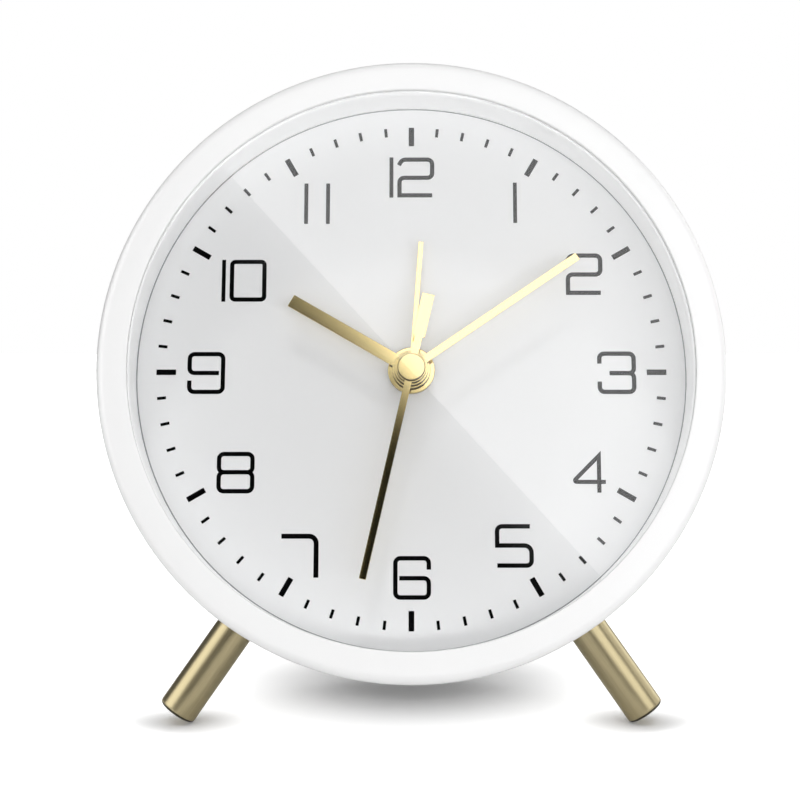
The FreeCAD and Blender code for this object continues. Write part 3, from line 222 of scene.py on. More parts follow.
def grained_skin():
    """The fine pitted skin of moulded plastic, or of lacquer when it is shallow."""
    group, takes, gives = effect(
        "grained_skin",
        [("Place", "NodeSocketVector", None), ("Grains per Metre", "NodeSocketFloat", 3000.0),
         ("Depth", "NodeSocketFloat", 0.00002)],
        [("Normal", "NodeSocketVector"), ("Mask", "NodeSocketFloat")])
    noise = add(group, "ShaderNodeTexNoise",
                {"Vector": takes.outputs["Place"], "Scale": takes.outputs["Grains per Metre"],
                 "Detail": 3.0, "Roughness": 0.55})
    bump = add(group, "ShaderNodeBump",
               {"Height": noise.outputs["Fac"], "Distance": takes.outputs["Depth"],
                "Strength": 1.0})
    group.links.new(bump.outputs["Normal"], gives.inputs["Normal"])
    group.links.new(noise.outputs["Fac"], gives.inputs["Mask"])
    return group


def brushed_lines():
    """Fine lines of brushing. Place is stretched so that x runs along the lines."""
    group, takes, gives = effect(
        "brushed_lines",
        [("Place", "NodeSocketVector", None), ("Lines per Unit", "NodeSocketFloat", 12.0),
         ("Stretch", "NodeSocketFloat", 0.02), ("Depth", "NodeSocketFloat", 0.00001)],
        [("Mask", "NodeSocketFloat"), ("Normal", "NodeSocketVector")])
    apart = add(group, "ShaderNodeSeparateXYZ", {"Vector": takes.outputs["Place"]})
    short = add(group, "ShaderNodeMath", {0: apart.outputs["X"], 1: takes.outputs["Stretch"]},
                operation="MULTIPLY")
    stretched = add(group, "ShaderNodeCombineXYZ",
                    {"X": short.outputs[0], "Y": apart.outputs["Y"],
                     "Z": apart.outputs["Z"]})
    noise = add(group, "ShaderNodeTexNoise",
                {"Vector": stretched.outputs["Vector"],
                 "Scale": takes.outputs["Lines per Unit"], "Detail": 5.0, "Roughness": 0.65})
    bump = add(group, "ShaderNodeBump",
               {"Height": noise.outputs["Fac"], "Distance": takes.outputs["Depth"],
                "Strength": 1.0})
    group.links.new(noise.outputs["Fac"], gives.inputs["Mask"])
    group.links.new(bump.outputs["Normal"], gives.inputs["Normal"])
    return group


UNEVEN = uneven_finish()
GRAINED = grained_skin()
BRUSHED = brushed_lines()


def grouped(tree, group, inputs):
    """One of the effects above, placed in a material with its own values."""
    return add(tree, "ShaderNodeGroup", inputs, node_tree=group)


def new_material(name):
    """An empty material, with its tree, its surface shader and where things are on it."""
    material = bpy.data.materials.new(name)
    material.use_nodes = True
    tree = material.node_tree
    shader = tree.nodes["Principled BSDF"]
    places = add(tree, "ShaderNodeTexCoord")
    return material, tree, shader, places


def tinted(tree, mask, dark, light):
    """A colour between two others, by a mask."""
    mix = add(tree, "ShaderNodeMix", {"Factor": mask}, data_type="RGBA")
    mix.inputs["A"].default_value = (*dark, 1)
    mix.inputs["B"].default_value = (*light, 1)
    return [socket for socket in mix.outputs if socket.type == "RGBA"][0]


def plastic(name, dark, light, smoothest, roughest, grains=3000.0, depth=0.00001, coat=0.0,
            see_through=0.0):
    """Moulded plastic: a grained skin, an uneven sheen and a faint change of colour."""
    material, tree, shader, places = new_material(name)
    skin = grouped(tree, GRAINED, {"Place": places.outputs["Object"],
                                   "Grains per Metre": grains, "Depth": depth})
    sheen = grouped(tree, UNEVEN, {"Place": places.outputs["Object"],
                                   "Smoothest": smoothest, "Roughest": roughest})
    tree.links.new(tinted(tree, sheen.outputs["Mask"], dark, light),
                   shader.inputs["Base Color"])
    tree.links.new(sheen.outputs["Roughness"], shader.inputs["Roughness"])
    tree.links.new(skin.outputs["Normal"], shader.inputs["Normal"])
    shader.inputs["Coat Weight"].default_value = coat
    shader.inputs["Coat Roughness"].default_value = 0.12
    shader.inputs["Subsurface Weight"].default_value = see_through
    shader.inputs["Subsurface Scale"].default_value = 0.001
    return material


def metal(name, dark, light, smoothest, roughest, place="Object", lines=1500.0, stretch=0.02,
          depth=0.000004):
    """Drawn or brushed metal: its lines change its colour and its roughness."""
    material, tree, shader, places = new_material(name)
    brushing = grouped(tree, BRUSHED, {"Place": places.outputs[place],
                                       "Lines per Unit": lines, "Stretch": stretch,
                                       "Depth": depth})
    tree.links.new(tinted(tree, brushing.outputs["Mask"], dark, light),
                   shader.inputs["Base Color"])
    tree.links.new(ranged(tree, brushing.outputs["Mask"], smoothest, roughest),
                   shader.inputs["Roughness"])
    tree.links.new(brushing.outputs["Normal"], shader.inputs["Normal"])
    shader.inputs["Metallic"].default_value = 1.0
    return material


def lens_glass():
    """Clear glass. Shadow rays pass through it, so the lamps reach the dial."""
    material, tree, shader, places = new_material("lens_glass")
    shader.inputs["Base Color"].default_value = (1, 1, 1, 1)
    shader.inputs["Transmission Weight"].default_value = 1.0
    shader.inputs["IOR"].default_value = 1.46
    smear = grouped(tree, UNEVEN, {"Place": places.outputs["Object"],
                                   "Spots per Metre": 25.0, "Smoothest": 0.0,
                                   "Roughest": 0.012})
    tree.links.new(smear.outputs["Roughness"], shader.inputs["Roughness"])
    rays = add(tree, "ShaderNodeLightPath")
    clear = add(tree, "ShaderNodeBsdfTransparent")
    mix = add(tree, "ShaderNodeMixShader", {"Fac": rays.outputs["Is Shadow Ray"]})
    tree.links.new(shader.outputs["BSDF"], mix.inputs[1])
    tree.links.new(clear.outputs["BSDF"], mix.inputs[2])
    tree.links.new(mix.outputs["Shader"], tree.nodes["Material Output"].inputs["Surface"])
    return material


def dial_silver():
    """Satin silver white: a fine metallic grain under a matt coat."""
    material, tree, shader, places = new_material("dial_silver")
    skin = grouped(tree, GRAINED, {"Place": places.outputs["Object"],
                                   "Grains per Metre": 9000.0, "Depth": 0.000003})
    sheen = grouped(tree, UNEVEN, {"Place": places.outputs["Object"], "Smoothest": 0.42,
                                   "Roughest": 0.5})
    tree.links.new(tinted(tree, skin.outputs["Mask"], (0.925, 0.93, 0.935),
                          (0.965, 0.97, 0.975)), shader.inputs["Base Color"])
    tree.links.new(sheen.outputs["Roughness"], shader.inputs["Roughness"])
    tree.links.new(skin.outputs["Normal"], shader.inputs["Normal"])
    return material


FINISHES = {
    "case_white": plastic("case_white", (0.815, 0.815, 0.815), (0.83, 0.83, 0.83), 0.28, 0.32,
                          grains=2500.0, depth=0.0000008, coat=0.3),
    "lens_glass": lens_glass(),
    "ring_white": plastic("ring_white", (0.92, 0.925, 0.93), (0.94, 0.945, 0.95), 0.4, 0.5),
    "dial_white": dial_silver(),
    "carrier_plastic": plastic("carrier_plastic", (0.7, 0.7, 0.68), (0.78, 0.78, 0.76), 0.4,
                               0.55),
    "leg_brass": metal("leg_brass", (0.42, 0.35, 0.20), (0.60, 0.52, 0.32), 0.28, 0.35,
                       place="UV", lines=3.0, stretch=0.03, depth=0.000006),
    "screw_steel": metal("screw_steel", (0.55, 0.55, 0.56), (0.75, 0.75, 0.76), 0.28, 0.38),
    "foot_rubber": plastic("foot_rubber", (0.6, 0.6, 0.6), (0.7, 0.7, 0.7), 0.5, 0.65,
                           grains=2000.0, depth=0.00002, see_through=0.3),
    "movement_plastic": plastic("movement_plastic", (0.03, 0.03, 0.032),
                                (0.05, 0.05, 0.052), 0.45, 0.6),
    "motor_iron": metal("motor_iron", (0.3, 0.3, 0.32), (0.5, 0.5, 0.52), 0.3, 0.45),
    "coil_copper": metal("coil_copper", (0.55, 0.22, 0.08), (0.9, 0.45, 0.2), 0.28, 0.4,
                         lines=6000.0, stretch=4.0, depth=0.00005),
    "board_green": plastic("board_green", (0.01, 0.09, 0.03), (0.02, 0.2, 0.07), 0.3, 0.4),
    "crystal_can": metal("crystal_can", (0.6, 0.6, 0.6), (0.8, 0.8, 0.8), 0.15, 0.25),
    "cover_white": plastic("cover_white", (0.82, 0.82, 0.815), (0.87, 0.87, 0.865), 0.42,
                           0.55, grains=2600.0, depth=0.00003),
    "cell_sleeve": plastic("cell_sleeve", (0.02, 0.02, 0.022), (0.03, 0.03, 0.033), 0.28,
                           0.34),
    "contact_nickel": metal("contact_nickel", (0.65, 0.63, 0.58), (0.85, 0.83, 0.78), 0.15,
                            0.26),
    "sounder_black": plastic("sounder_black", (0.02, 0.02, 0.02), (0.035, 0.035, 0.035),
                             0.35, 0.5),
    "arbor_steel": metal("arbor_steel", (0.5, 0.5, 0.52), (0.75, 0.75, 0.77), 0.15, 0.26),
    "wheel_plastic": plastic("wheel_plastic", (0.75, 0.74, 0.7), (0.85, 0.84, 0.8), 0.35,
                             0.45, depth=0.000005, see_through=0.2),
    "hand_gold": metal("hand_gold", (0.82, 0.65, 0.29), (0.96, 0.79, 0.38), 0.075, 0.1,
                       place="UV", lines=4.0, stretch=0.03, depth=0.0000003),
    "magnet_dark": metal("magnet_dark", (0.08, 0.08, 0.085), (0.15, 0.15, 0.16), 0.35, 0.5),
    "knob_white": plastic("knob_white", (0.82, 0.82, 0.815), (0.87, 0.87, 0.865), 0.35,
                          0.45),
}


# Painted light on the sloping ring: a faint glow everywhere, stronger towards its top.
RING_GLOW = 0.15
RING_TOP_GLOW = 0.36
RING_GLOW_DEPTH = 2.5


def paint_ring_light():
    """Painted light: the sloping ring glows a little, most at its top, where the lip shades it."""
    tree = FINISHES["ring_white"].node_tree
    shader = tree.nodes["Principled BSDF"]
    places = add(tree, "ShaderNodeTexCoord")
    offset = add(tree, "ShaderNodeVectorMath", {0: places.outputs["Object"], 1: DIAL_MIDDLE},
                 operation="SUBTRACT")
    height = add(tree, "ShaderNodeVectorMath", {0: offset.outputs[0], 1: OUT_OF_DIAL},
                 operation="DOT_PRODUCT")
    low, high = heights_of("inner_ring")
    glow = add(tree, "ShaderNodeMapRange",
               {"Value": height.outputs["Value"], "From Min": (high - RING_GLOW_DEPTH) * MM,
                "From Max": high * MM, "To Min": RING_GLOW, "To Max": RING_TOP_GLOW},
               interpolation_type="SMOOTHSTEP")
    shader.inputs["Emission Color"].default_value = (1, 1, 1, 1)
    tree.links.new(glow.outputs["Result"], shader.inputs["Emission Strength"])


paint_ring_light()

# Finishes of small parts that differ from the finish of their slot, three as painted shade
PRINT = plastic("dial_print", (0.0005, 0.0005, 0.0005), (0.001, 0.001, 0.001), 0.5, 0.6,
                grains=6000.0, depth=0.000002)
PRINT.node_tree.nodes["Principled BSDF"].inputs["Specular IOR Level"].default_value = 0.05
# Painted shade: the grey of the fine line where the sloping ring meets the dial.
GAP_SHADE_GREY = plastic("rim_gap_shade", (0.30, 0.31, 0.32), (0.38, 0.39, 0.40), 0.5, 0.6,
                   grains=6000.0, depth=0.000002)
# Painted shade: the dark gold of the hubs' sides and of the flange under the cap.
GOLD_WALL_SHADE = metal("hand_gold_wall_shade", (0.10, 0.07, 0.02), (0.16, 0.12, 0.04), 0.28, 0.36,
                  place="UV", lines=4.0, stretch=0.03, depth=0.0000003)
SWITCH_GREY = plastic("switch_grey", (0.13, 0.13, 0.135), (0.17, 0.17, 0.175), 0.4, 0.5)
# Painted shade: the dark brass of the round at each leg's foot.
LEG_END_SHADE = metal("leg_brass_end_shade", (0.05, 0.045, 0.03), (0.09, 0.08, 0.05), 0.3, 0.4,
                place="UV", lines=3.0, stretch=0.03)

# The CAD nodes get the finishes of their slots, but for the switch, which is dark on the white
# back.
slot_of = {part["node"]: part["material_slot"] for part in frame["record"]["subparts"]}
for node, thing in frame["nodes"].items():
    thing.data.materials.clear()
    thing.data.materials.append(FINISHES[slot_of[node]])
frame["nodes"]["alarm_switch"].data.materials[0] = SWITCH_GREY


# Casing

CASE_ROUND = 2.0
LIP_WIDTH = 6.1
LIP_ROUND = 0.3
CASE_WALL = 1.8
LIP_THICKNESS = 0.9
CASE_BACK_ROUND = 0.6
DRUM_SEGMENTS = 256


def make_case():
    """The white drum with its rounded front and back edges and the lip over the glass."""
    rear, front = heights_of("case")
    radius = radius_of("case")
    lip, inside = radius - LIP_WIDTH, radius - CASE_WALL
    profile = [(lip, front - LIP_THICKNESS)]
    profile += arc((lip + LIP_ROUND, front - LIP_ROUND), LIP_ROUND, 180, 90, 4)
    profile += arc((radius - CASE_ROUND, front - CASE_ROUND), CASE_ROUND, 90, 0, 12)
    profile += arc((radius - CASE_BACK_ROUND, rear + CASE_BACK_ROUND), CASE_BACK_ROUND, 0,
                   -90, 5)
    profile += [(inside, rear), (inside, front - LIP_THICKNESS)]
    mesh = bmesh.new()
    turned(mesh, profile, DRUM_SEGMENTS)
    piece("drum_case", mesh, "clock_body", FINISHES["case_white"], ["case"])


# Dial print

PRINT_RISE = 0.03
STROKE = 0.86
CORNER = 0.97
BIG_CORNER = 1.4
SMALL_CORNER = 0.68
GAP_SHARE = 0.12
TICK_REACH = 50.75
MINUTE_LENGTH, MINUTE_WIDTH = 1.78, 0.6
HOUR_LENGTH, HOUR_WIDTH = 3.9, 1.1
RIM_LINE = 0.24
RING_FOOT = 0.5

# Each digit's strokes in a box from (0, 0) at the upper left to (1, 1) at the lower right.
# The third number is the corner's radius in millimetres.
DIGITS = {
    "0": [[(0, 0, SMALL_CORNER), (1, 0, SMALL_CORNER), (1, 1, SMALL_CORNER),
           (0, 1, SMALL_CORNER), "closed"]],
    "1": [[(0.5, 0, 0), (0.5, 1, 0)]],
    "2": [[(-0.02, 0.156, 0), (0.084, 0, 1.2), (1, 0, CORNER), (1, 0.51, CORNER),
           (0, 0.51, CORNER), (0, 1, 0), (1, 1, 0)]],
    "3": [[(0, 0.26, 0), (0, 0, CORNER), (1, 0, CORNER), (1, 0.51, CORNER), (0.29, 0.51, 0)],
          [(0.29, 0.51, 0), (1, 0.51, CORNER), (1, 1, CORNER), (0, 1, CORNER),
           (0, 0.73, 0)]],
    "4": [[(0.8, 1, 0), (0.8, 0, 0), (0, 0.71, 0.3), (1, 0.71, 0)]],
    "5": [[(0.96, 0, 0), (0, 0, CORNER), (0, 0.49, 0), (1, 0.49, BIG_CORNER),
           (1, 1, CORNER), (0, 1, 0)]],
    "6": [[(1, 0.29, 0), (1, 0, CORNER), (0, 0, CORNER), (0, 1, CORNER), (1, 1, CORNER),
           (1, 0.51, CORNER), (GAP_SHARE, 0.51, 0)]],
    "7": [[(0, 0, 0), (1, 0, BIG_CORNER), (1, 1, 0)]],
    "8": [[(0, 0, CORNER), (1, 0, CORNER), (1, 0.49, CORNER), (0, 0.49, CORNER), "closed"],
          [(0, 0.49, CORNER), (1, 0.49, CORNER), (1, 1, CORNER), (0, 1, CORNER),
           "closed"]],
    "9": [[(0, 0.7, 0), (0, 1, CORNER), (1, 1, CORNER), (1, 0, CORNER), (0, 0, CORNER),
           (0, 0.5, CORNER), (1 - GAP_SHARE, 0.5, 0)]],
}

# Each digit on the dial: its middle, its width and height, and its stroke.
PRINTED = [
    ("1", -4.07, 40.22, 0.78, 8.46, 0.78), ("2", 0.90, 40.22, 7.51, 8.40, STROKE),
    ("1", 21.04, 34.89, 0.78, 8.46, 0.78), ("2", 34.77, 20.03, 7.43, 8.54, STROKE),
    ("3", 40.87, -0.09, 7.70, 8.57, STROKE), ("4", 34.99, -20.30, 7.25, 8.08, 0.8),
    ("5", 20.08, -34.33, 7.55, 8.47, STROKE), ("6", 0.13, -40.50, 7.38, 8.41, STROKE),
    ("7", -21.99, -36.46, 7.78, 8.98, 0.96), ("8", -34.60, -20.00, 7.45, 8.20, STROKE),
    ("9", -40.84, -0.14, 7.52, 8.47, STROKE), ("1", -37.76, 18.68, 0.78, 8.61, 0.78),
    ("0", -32.85, 18.68, 7.38, 8.61, STROKE), ("1", -21.35, 34.70, 0.78, 8.46, 0.78),
    ("1", -16.93, 34.70, 0.78, 8.46, 0.78),
]


def rounded_path(points, closed):
    """The middle line of a stroke, with its corners rounded by arcs."""
    count = len(points)
    path = []
    for index, (spot, radius) in enumerate(points):
        if not radius or (not closed and index in (0, count - 1)):
            path.append(spot)
            continue
        back = (points[index - 1][0] - spot).normalized()
        ahead = (points[(index + 1) % count][0] - spot).normalized()
        half = back.angle(ahead) / 2
        middle = spot + (back + ahead).normalized() * radius / math.sin(half)
        start = spot + back * radius / math.tan(half) - middle
        end = spot + ahead * radius / math.tan(half) - middle
        sweep = math.atan2(start.x * end.y - start.y * end.x, start.dot(end))
        for step in range(CORNER_STEPS + 1):
            angle = sweep * step / CORNER_STEPS
            path.append(middle + Vector((start.x * math.cos(angle) - start.y * math.sin(angle),
                                         start.x * math.sin(angle)
                                         + start.y * math.cos(angle))))
    return path


def ribbon(mesh, path, width, closed, low, high):
    """A flat printed stroke of even width along a path."""
    count = len(path)
    rows = []
    for index in range(count):
        if closed:
            before, after = path[index - 1], path[(index + 1) % count]
        else:
            before, after = path[max(index - 1, 0)], path[min(index + 1, count - 1)]
        here = path[index]
        into = (here - before).normalized() if (here - before).length else None
        out = (after - here).normalized() if (after - here).length else None
        into, out = into or out, out or into
        side = Vector((-(into + out).y, (into + out).x)).normalized()
        across = side * width / 2 / max(side.dot(Vector((-into.y, into.x))),
                                          MITRE_LEAST)
        rows.append([mesh.verts.new((*(here + across), high)),
                     mesh.verts.new((*(here - across), high)),
                     mesh.verts.new((*(here - across), low)),
                     mesh.verts.new((*(here + across), low))])
    for index in range(count if closed else count - 1):
        row, after = rows[index], rows[(index + 1) % count]
        for edge in range(4):
            following = (edge + 1) % 4
            mesh.faces.new((row[edge], after[edge], after[following], row[following]))
    if not closed:
        mesh.faces.new(rows[0])
        mesh.faces.new(list(reversed(rows[-1])))


def make_numbers():
    """The figures 1 to 12, drawn as strokes of even width."""
    mesh = bmesh.new()
    top = heights_of("dial")[1]
    for digit, x, y, width, height, stroke in PRINTED:
        across, down = max(width - stroke, 0), height - (0 if digit == "1" else stroke)
        for line in DIGITS[digit]:
            closed = line[-1] == "closed"
            points = [(Vector((x + (share - 0.5) * across, y + (0.5 - fall) * down)), corner)
                      for share, fall, corner in (line[:-1] if closed else line)]
            ribbon(mesh, rounded_path(points, closed), stroke, closed, top, top + PRINT_RISE)
    piece("dial_numbers", mesh, "clock_body", PRINT, smooth=False)


def make_minute_marks():
    """Sixty marks round the dial, longer and wider at the hours."""
    mesh = bmesh.new()
    top = heights_of("dial")[1]
    for minute in range(60):
        length, width = HOUR_LENGTH, HOUR_WIDTH
        if minute % 5:
            length, width = MINUTE_LENGTH, MINUTE_WIDTH
        angle = TURN * minute / 60
        outward = Vector((math.sin(angle), math.cos(angle)))
        ribbon(mesh, [outward * (TICK_REACH - length), outward * TICK_REACH], width, False,
               top, top + PRINT_RISE)
    piece("minute_marks", mesh, "clock_body", PRINT, smooth=False)


def make_rim_line():
    """A fine grey line where the sloping ring meets the dial: painted shade of the joint there."""
    low = heights_of("inner_ring")[0]
    foot = min(flat_radius(corner) for corner in corners_of("inner_ring")
               if corner.z < low + RING_FOOT)
    top = heights_of("dial")[1]
    mesh = bmesh.new()
    turned(mesh, [(foot - RIM_LINE, top), (foot - RIM_LINE, top + PRINT_RISE),
                  (foot, top + PRINT_RISE), (foot, top)], DRUM_SEGMENTS)
    piece("dial_rim_line", mesh, "clock_body", GAP_SHADE_GREY, smooth=False)


# Hands

HAND_EDGE = 0.06
HAND_DROP = 0.02
HUB_EDGE = 0.12
HUB_FOOT = 0.05
HUB_SEGMENTS = 96
TIP_SHARE = 0.999
WALL_DEPTH = 0.1
WALL_PROUD = 0.02
SHADOW_FLANGE_HEIGHT = 0.08
CAP_SHADOW_FLANGE = 0.14
TAIL_WIDTH = 2.47
TAIL_START = 6.3
TAIL_LENGTH = 15.0


def make_hand(node, body, bore, tail=False):
    """A flat brushed bar on a turned hub, measured from its CAD node."""
    corners = corners_of(node)
    low, high = heights_of(node)
    length = max(flat_radius(corner) for corner in corners)
    tips = [corner for corner in corners if flat_radius(corner) > TIP_SHARE * length]
    angle = math.atan2(sum(tip.y for tip in tips), sum(tip.x for tip in tips)) - TURN / 4
    turn = Matrix.Rotation(-angle, 4, "Z")
    width = 2 * max(abs((turn @ tip).x) for tip in tips)
    hub = max(flat_radius(corner) for corner in corners if corner.z < low + HUB_FOOT)
    blade_low = min(corner.z for corner in tips)
    half = width / 2
    outline = [(half, length), (-half, length), (-half, 0), (half, 0)]
    if tail:
        wide = TAIL_WIDTH / 2
        outline = [(half, length), (-half, length), (-half, -TAIL_START),
                   (-wide, -TAIL_START), (-wide, -TAIL_LENGTH), (wide, -TAIL_LENGTH),
                   (wide, -TAIL_START), (half, -TAIL_START)]
    mesh = bmesh.new()
    slab(mesh, outline, blade_low, high - HAND_DROP, HAND_EDGE)
    bmesh.ops.rotate(mesh, verts=mesh.verts, matrix=Matrix.Rotation(angle, 3, "Z"))
    disc = bmesh.new()
    profile = [(bore, low), (hub, low)]
    profile += arc((hub - HUB_EDGE, high - HUB_EDGE), HUB_EDGE, 0, 90, 4)
    profile += [(bore, high)]
    turned(disc, profile, HUB_SEGMENTS)
    joined = bpy.data.meshes.new("hub")
    disc.to_mesh(joined)
    disc.free()
    mesh.from_mesh(joined)
    bpy.data.meshes.remove(joined)
    piece(f"{node}_brushed", mesh, body, FINISHES["hand_gold"], [node],
          sharp=8)
    # The hub's side, in painted shade.
    make_wall(f"{node}_hub_wall", body, hub, low, high - HUB_EDGE)


def make_wall(name, body, radius, low, high, flange=0.0):
    """The turned side of a hub in dark gold, painted shade; a flange paints the shadow at its foot."""
    profile = [(radius - WALL_DEPTH, low), (radius + WALL_PROUD + flange, low)]
    if flange:
        profile += [(radius + WALL_PROUD + flange, low + SHADOW_FLANGE_HEIGHT),
                    (radius + WALL_PROUD, low + SHADOW_FLANGE_HEIGHT)]
    profile += [(radius + WALL_PROUD, high), (radius - WALL_DEPTH, high)]
    mesh = bmesh.new()
    turned(mesh, profile, HUB_SEGMENTS)
    piece(name, mesh, body, GOLD_WALL_SHADE, sharp=8)


def make_cap():
    """The turned cap on the middle of the hands."""
    low, high = heights_of("second_hand_cap")
    radius = radius_of("second_hand_cap")
    profile = [(0, low), (radius, low)]
    profile += arc((radius - HUB_EDGE, high - HUB_EDGE), HUB_EDGE, 0, 90, 5)
    profile += [(0, high)]
    mesh = bmesh.new()
    turned(mesh, profile, HUB_SEGMENTS)
    piece("hand_cap_turned", mesh, "second_hand_group", FINISHES["hand_gold"],
          ["second_hand_cap"], sharp=8)
    # The cap's side and the flange at its foot, in painted shade.
    make_wall("hand_cap_wall", "second_hand_group", radius, low, high - HUB_EDGE, CAP_SHADOW_FLANGE)


# Legs

LEG_RADIUS = 3.85
LEG_ROUND = 0.93
LEG_ANGLE = 34.8
LEG_DEPTH = 6.8
LEG_SEAT_GAP = 0.02
LEG_STATIONS = 4
LEG_SEGMENTS = 72
RIM_PROUD = 0.01
RIM_DEPTH = 0.1
RIM_START = 25


def foot_round(start):
    """Radius and height of the rounding at a leg's foot, from an angle on it to its end."""
    return arc((LEG_RADIUS - LEG_ROUND, -LEG_ROUND), LEG_ROUND, start, 90, 6)


def make_leg(side, node):
    """A brushed rod cut to the drum at its upper end and softly rounded at its foot."""
    drum = radius_of("case") + LEG_SEAT_GAP
    lean = math.radians(LEG_ANGLE)
    down = Vector((side * math.sin(lean), -math.cos(lean), 0))
    across = Vector((math.cos(lean), side * math.sin(lean), 0))
    end = max(corner.dot(down) for corner in corners_of(node))
    mesh = bmesh.new()
    layer = mesh.loops.layers.uv.verify()
    rings = []
    for step in range(LEG_SEGMENTS + 1):
        angle = TURN * step / LEG_SEGMENTS
        start = math.sqrt(drum ** 2 - (LEG_RADIUS * math.cos(angle)) ** 2)
        length = end - LEG_ROUND - start
        run = [(drum, 0)]
        run += [(start + length * station / LEG_STATIONS, LEG_RADIUS)
                for station in range(LEG_STATIONS + 1)]
        run += [(end + low, radius) for radius, low in foot_round(0)[1:]]
        run.append((end, 0))
        ring = []
        for along, radius in run:
            place = (down * along + across * radius * math.cos(angle)
                     + Vector((0, 0, radius * math.sin(angle) - LEG_DEPTH)))
            ring.append((mesh.verts.new(place), along, LEG_RADIUS * angle))
        rings.append(ring)
    for ring, after in zip(rings, rings[1:]):
        for index in range(len(ring) - 1):
            square = (ring[index], after[index], after[index + 1], ring[index + 1])
            face = mesh.faces.new([corner for corner, _, _ in square])
            for loop, (_, along, around) in zip(face.loops, square):
                loop[layer].uv = (along, around)
    bmesh.ops.remove_doubles(mesh, verts=mesh.verts, dist=MERGED)
    piece(f"{node}_rod", mesh, "clock_body", FINISHES["leg_brass"], [node])
    make_rim(f"{node}_end_rim", down, across, end)


def make_rim(name, down, across, end):
    """The round at a leg's foot, a hair proud of the rod, in dark brass as painted shade."""
    profile = [(radius + RIM_PROUD, low) for radius, low in foot_round(RIM_START)]
    profile += [(radius - RIM_DEPTH, low - RIM_DEPTH)
                for radius, low in reversed(foot_round(RIM_START))]
    mesh = bmesh.new()
    turned(mesh, profile, LEG_SEGMENTS)
    middle = down * end + Vector((0, 0, -LEG_DEPTH))
    mesh.transform(Matrix.Translation(middle) @ Matrix((
        across, down.cross(across), down)).transposed().to_4x4())
    piece(name, mesh, "clock_body", LEG_END_SHADE)


# Rear foot

FOOT_HALF = 7.5
FOOT_EDGE = 0.5
FOOT_STATIONS = 16
FOOT_UPRIGHT = 2.0


def make_foot():
    """A rubber pad hollowed to the drum above it, flat on the table, with soft edges."""
    low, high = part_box("rear_foot")
    drum = radius_of("case") + LEG_SEAT_GAP
    tilt = UP_DIAL.y / OUT_OF_DIAL.y
    mesh = bmesh.new()
    rows = []
    for step in range(FOOT_STATIONS + 1):
        x = FOOT_HALF * (2 * step / FOOT_STATIONS - 1)
        under = -math.sqrt(drum ** 2 - x ** 2) * MM
        row = []
        for y in (low[1], high[1]):
            back = (y - DIAL_MIDDLE.y) / OUT_OF_DIAL.y - under * tilt
            top = DIAL_MIDDLE.z + UP_DIAL.z * under + OUT_OF_DIAL.z * back
            row += [TO_CLOCK @ Vector((x * MM, y, top)), TO_CLOCK @ Vector((x * MM, y, low[2]))]
        rows.append([mesh.verts.new(spot) for spot in row])
    for row, after in zip(rows, rows[1:]):
        mesh.faces.new((row[0], after[0], after[2], row[2]))
        mesh.faces.new((row[1], row[3], after[3], after[1]))
        mesh.faces.new((row[0], row[1], after[1], after[0]))
        mesh.faces.new((row[2], after[2], after[3], row[3]))
    ends = [mesh.faces.new((row[0], row[2], row[3], row[1])) for row in (rows[0], rows[-1])]
    upright = [line for end in ends for line in end.edges
               if abs((line.verts[0].co - line.verts[1].co).y) > FOOT_UPRIGHT]
    bmesh.ops.bevel(mesh, geom=upright, offset=FOOT_EDGE, segments=4, profile=0.5,
                    affect="EDGES")
    piece("rear_foot_pad", mesh, "clock_body", FINISHES["foot_rubber"],
          ["rear_foot"])


# Details of the back

CROSS_ANGLES = (30, 120)
CROSS_REACH = 1.25
CROSS_WIDTH = 0.5
CROSS_RISE = 0.03
RIB_COUNT = 4
RIB_PITCH = 1.15
RIB_WIDTH = 0.5
RIB_RISE = 0.25
GRIP_HALF = 1.6
GRIP_MIDDLE = (32.0, 15.01)


def make_screw_crosses():
    """The crossed slots in the heads of the cover's four screws, as dark crosses in painted shade."""
    corners = corners_of("cover_screws")
    outside = min(corner.z for corner in corners)
    mesh = bmesh.new()
    for side in (-1, 1):
        for end in (-1, 1):
            head = [corner for corner in corners if corner.x * side > 0 and corner.y * end > 0]
            middle = Vector(((min(spot.x for spot in head) + max(spot.x for spot in head)) / 2,
                             (min(spot.y for spot in head) + max(spot.y for spot in head)) / 2))
            for angle in CROSS_ANGLES:
                reach = Vector((math.cos(math.radians(angle)),
                                math.sin(math.radians(angle)))) * CROSS_REACH
                ribbon(mesh, [middle - reach, middle + reach], CROSS_WIDTH, False,
                       outside - CROSS_RISE, outside + CROSS_RISE)
    piece("screw_crosses", mesh, "clock_body", FINISHES["magnet_dark"],
          smooth=False)


def make_switch_ribs():
    """Ribs across the alarm switch, for a finger's grip."""
    outside = heights_of("alarm_switch")[0]
    mesh = bmesh.new()
    across, middle = GRIP_MIDDLE
    for index in range(RIB_COUNT):
        y = middle + (index - (RIB_COUNT - 1) / 2) * RIB_PITCH
        ribbon(mesh, [Vector((across - GRIP_HALF, y)), Vector((across + GRIP_HALF, y))],
               RIB_WIDTH, False, outside - RIB_RISE, outside + CROSS_RISE)
    piece("alarm_switch_ribs", mesh, "switch_group", SWITCH_GREY, smooth=False)


make_screw_crosses()
make_switch_ribs()
make_case()
make_foot()
make_numbers()
make_minute_marks()
make_rim_line()
make_hand("alarm_hand", "alarm_hand_group", bore=2.54)
make_hand("hour_hand", "hour_hand_group", bore=1.86)
make_hand("minute_hand", "minute_hand_group", bore=1.18)
make_hand("second_hand", "second_hand_group", bore=0.5, tail=True)
make_cap()
make_leg(-1, "leg_left")
make_leg(1, "leg_right")


# Camera, at the distance and height that the photograph was taken from

LOOK_DOWN = math.radians(3.5)
CAMERA_AWAY = 245.46
CAMERA_DROP = 5.442
LENS = 55.37
SENSOR = 36.0
PICTURE = 800
MIDDLE_X = 411.4

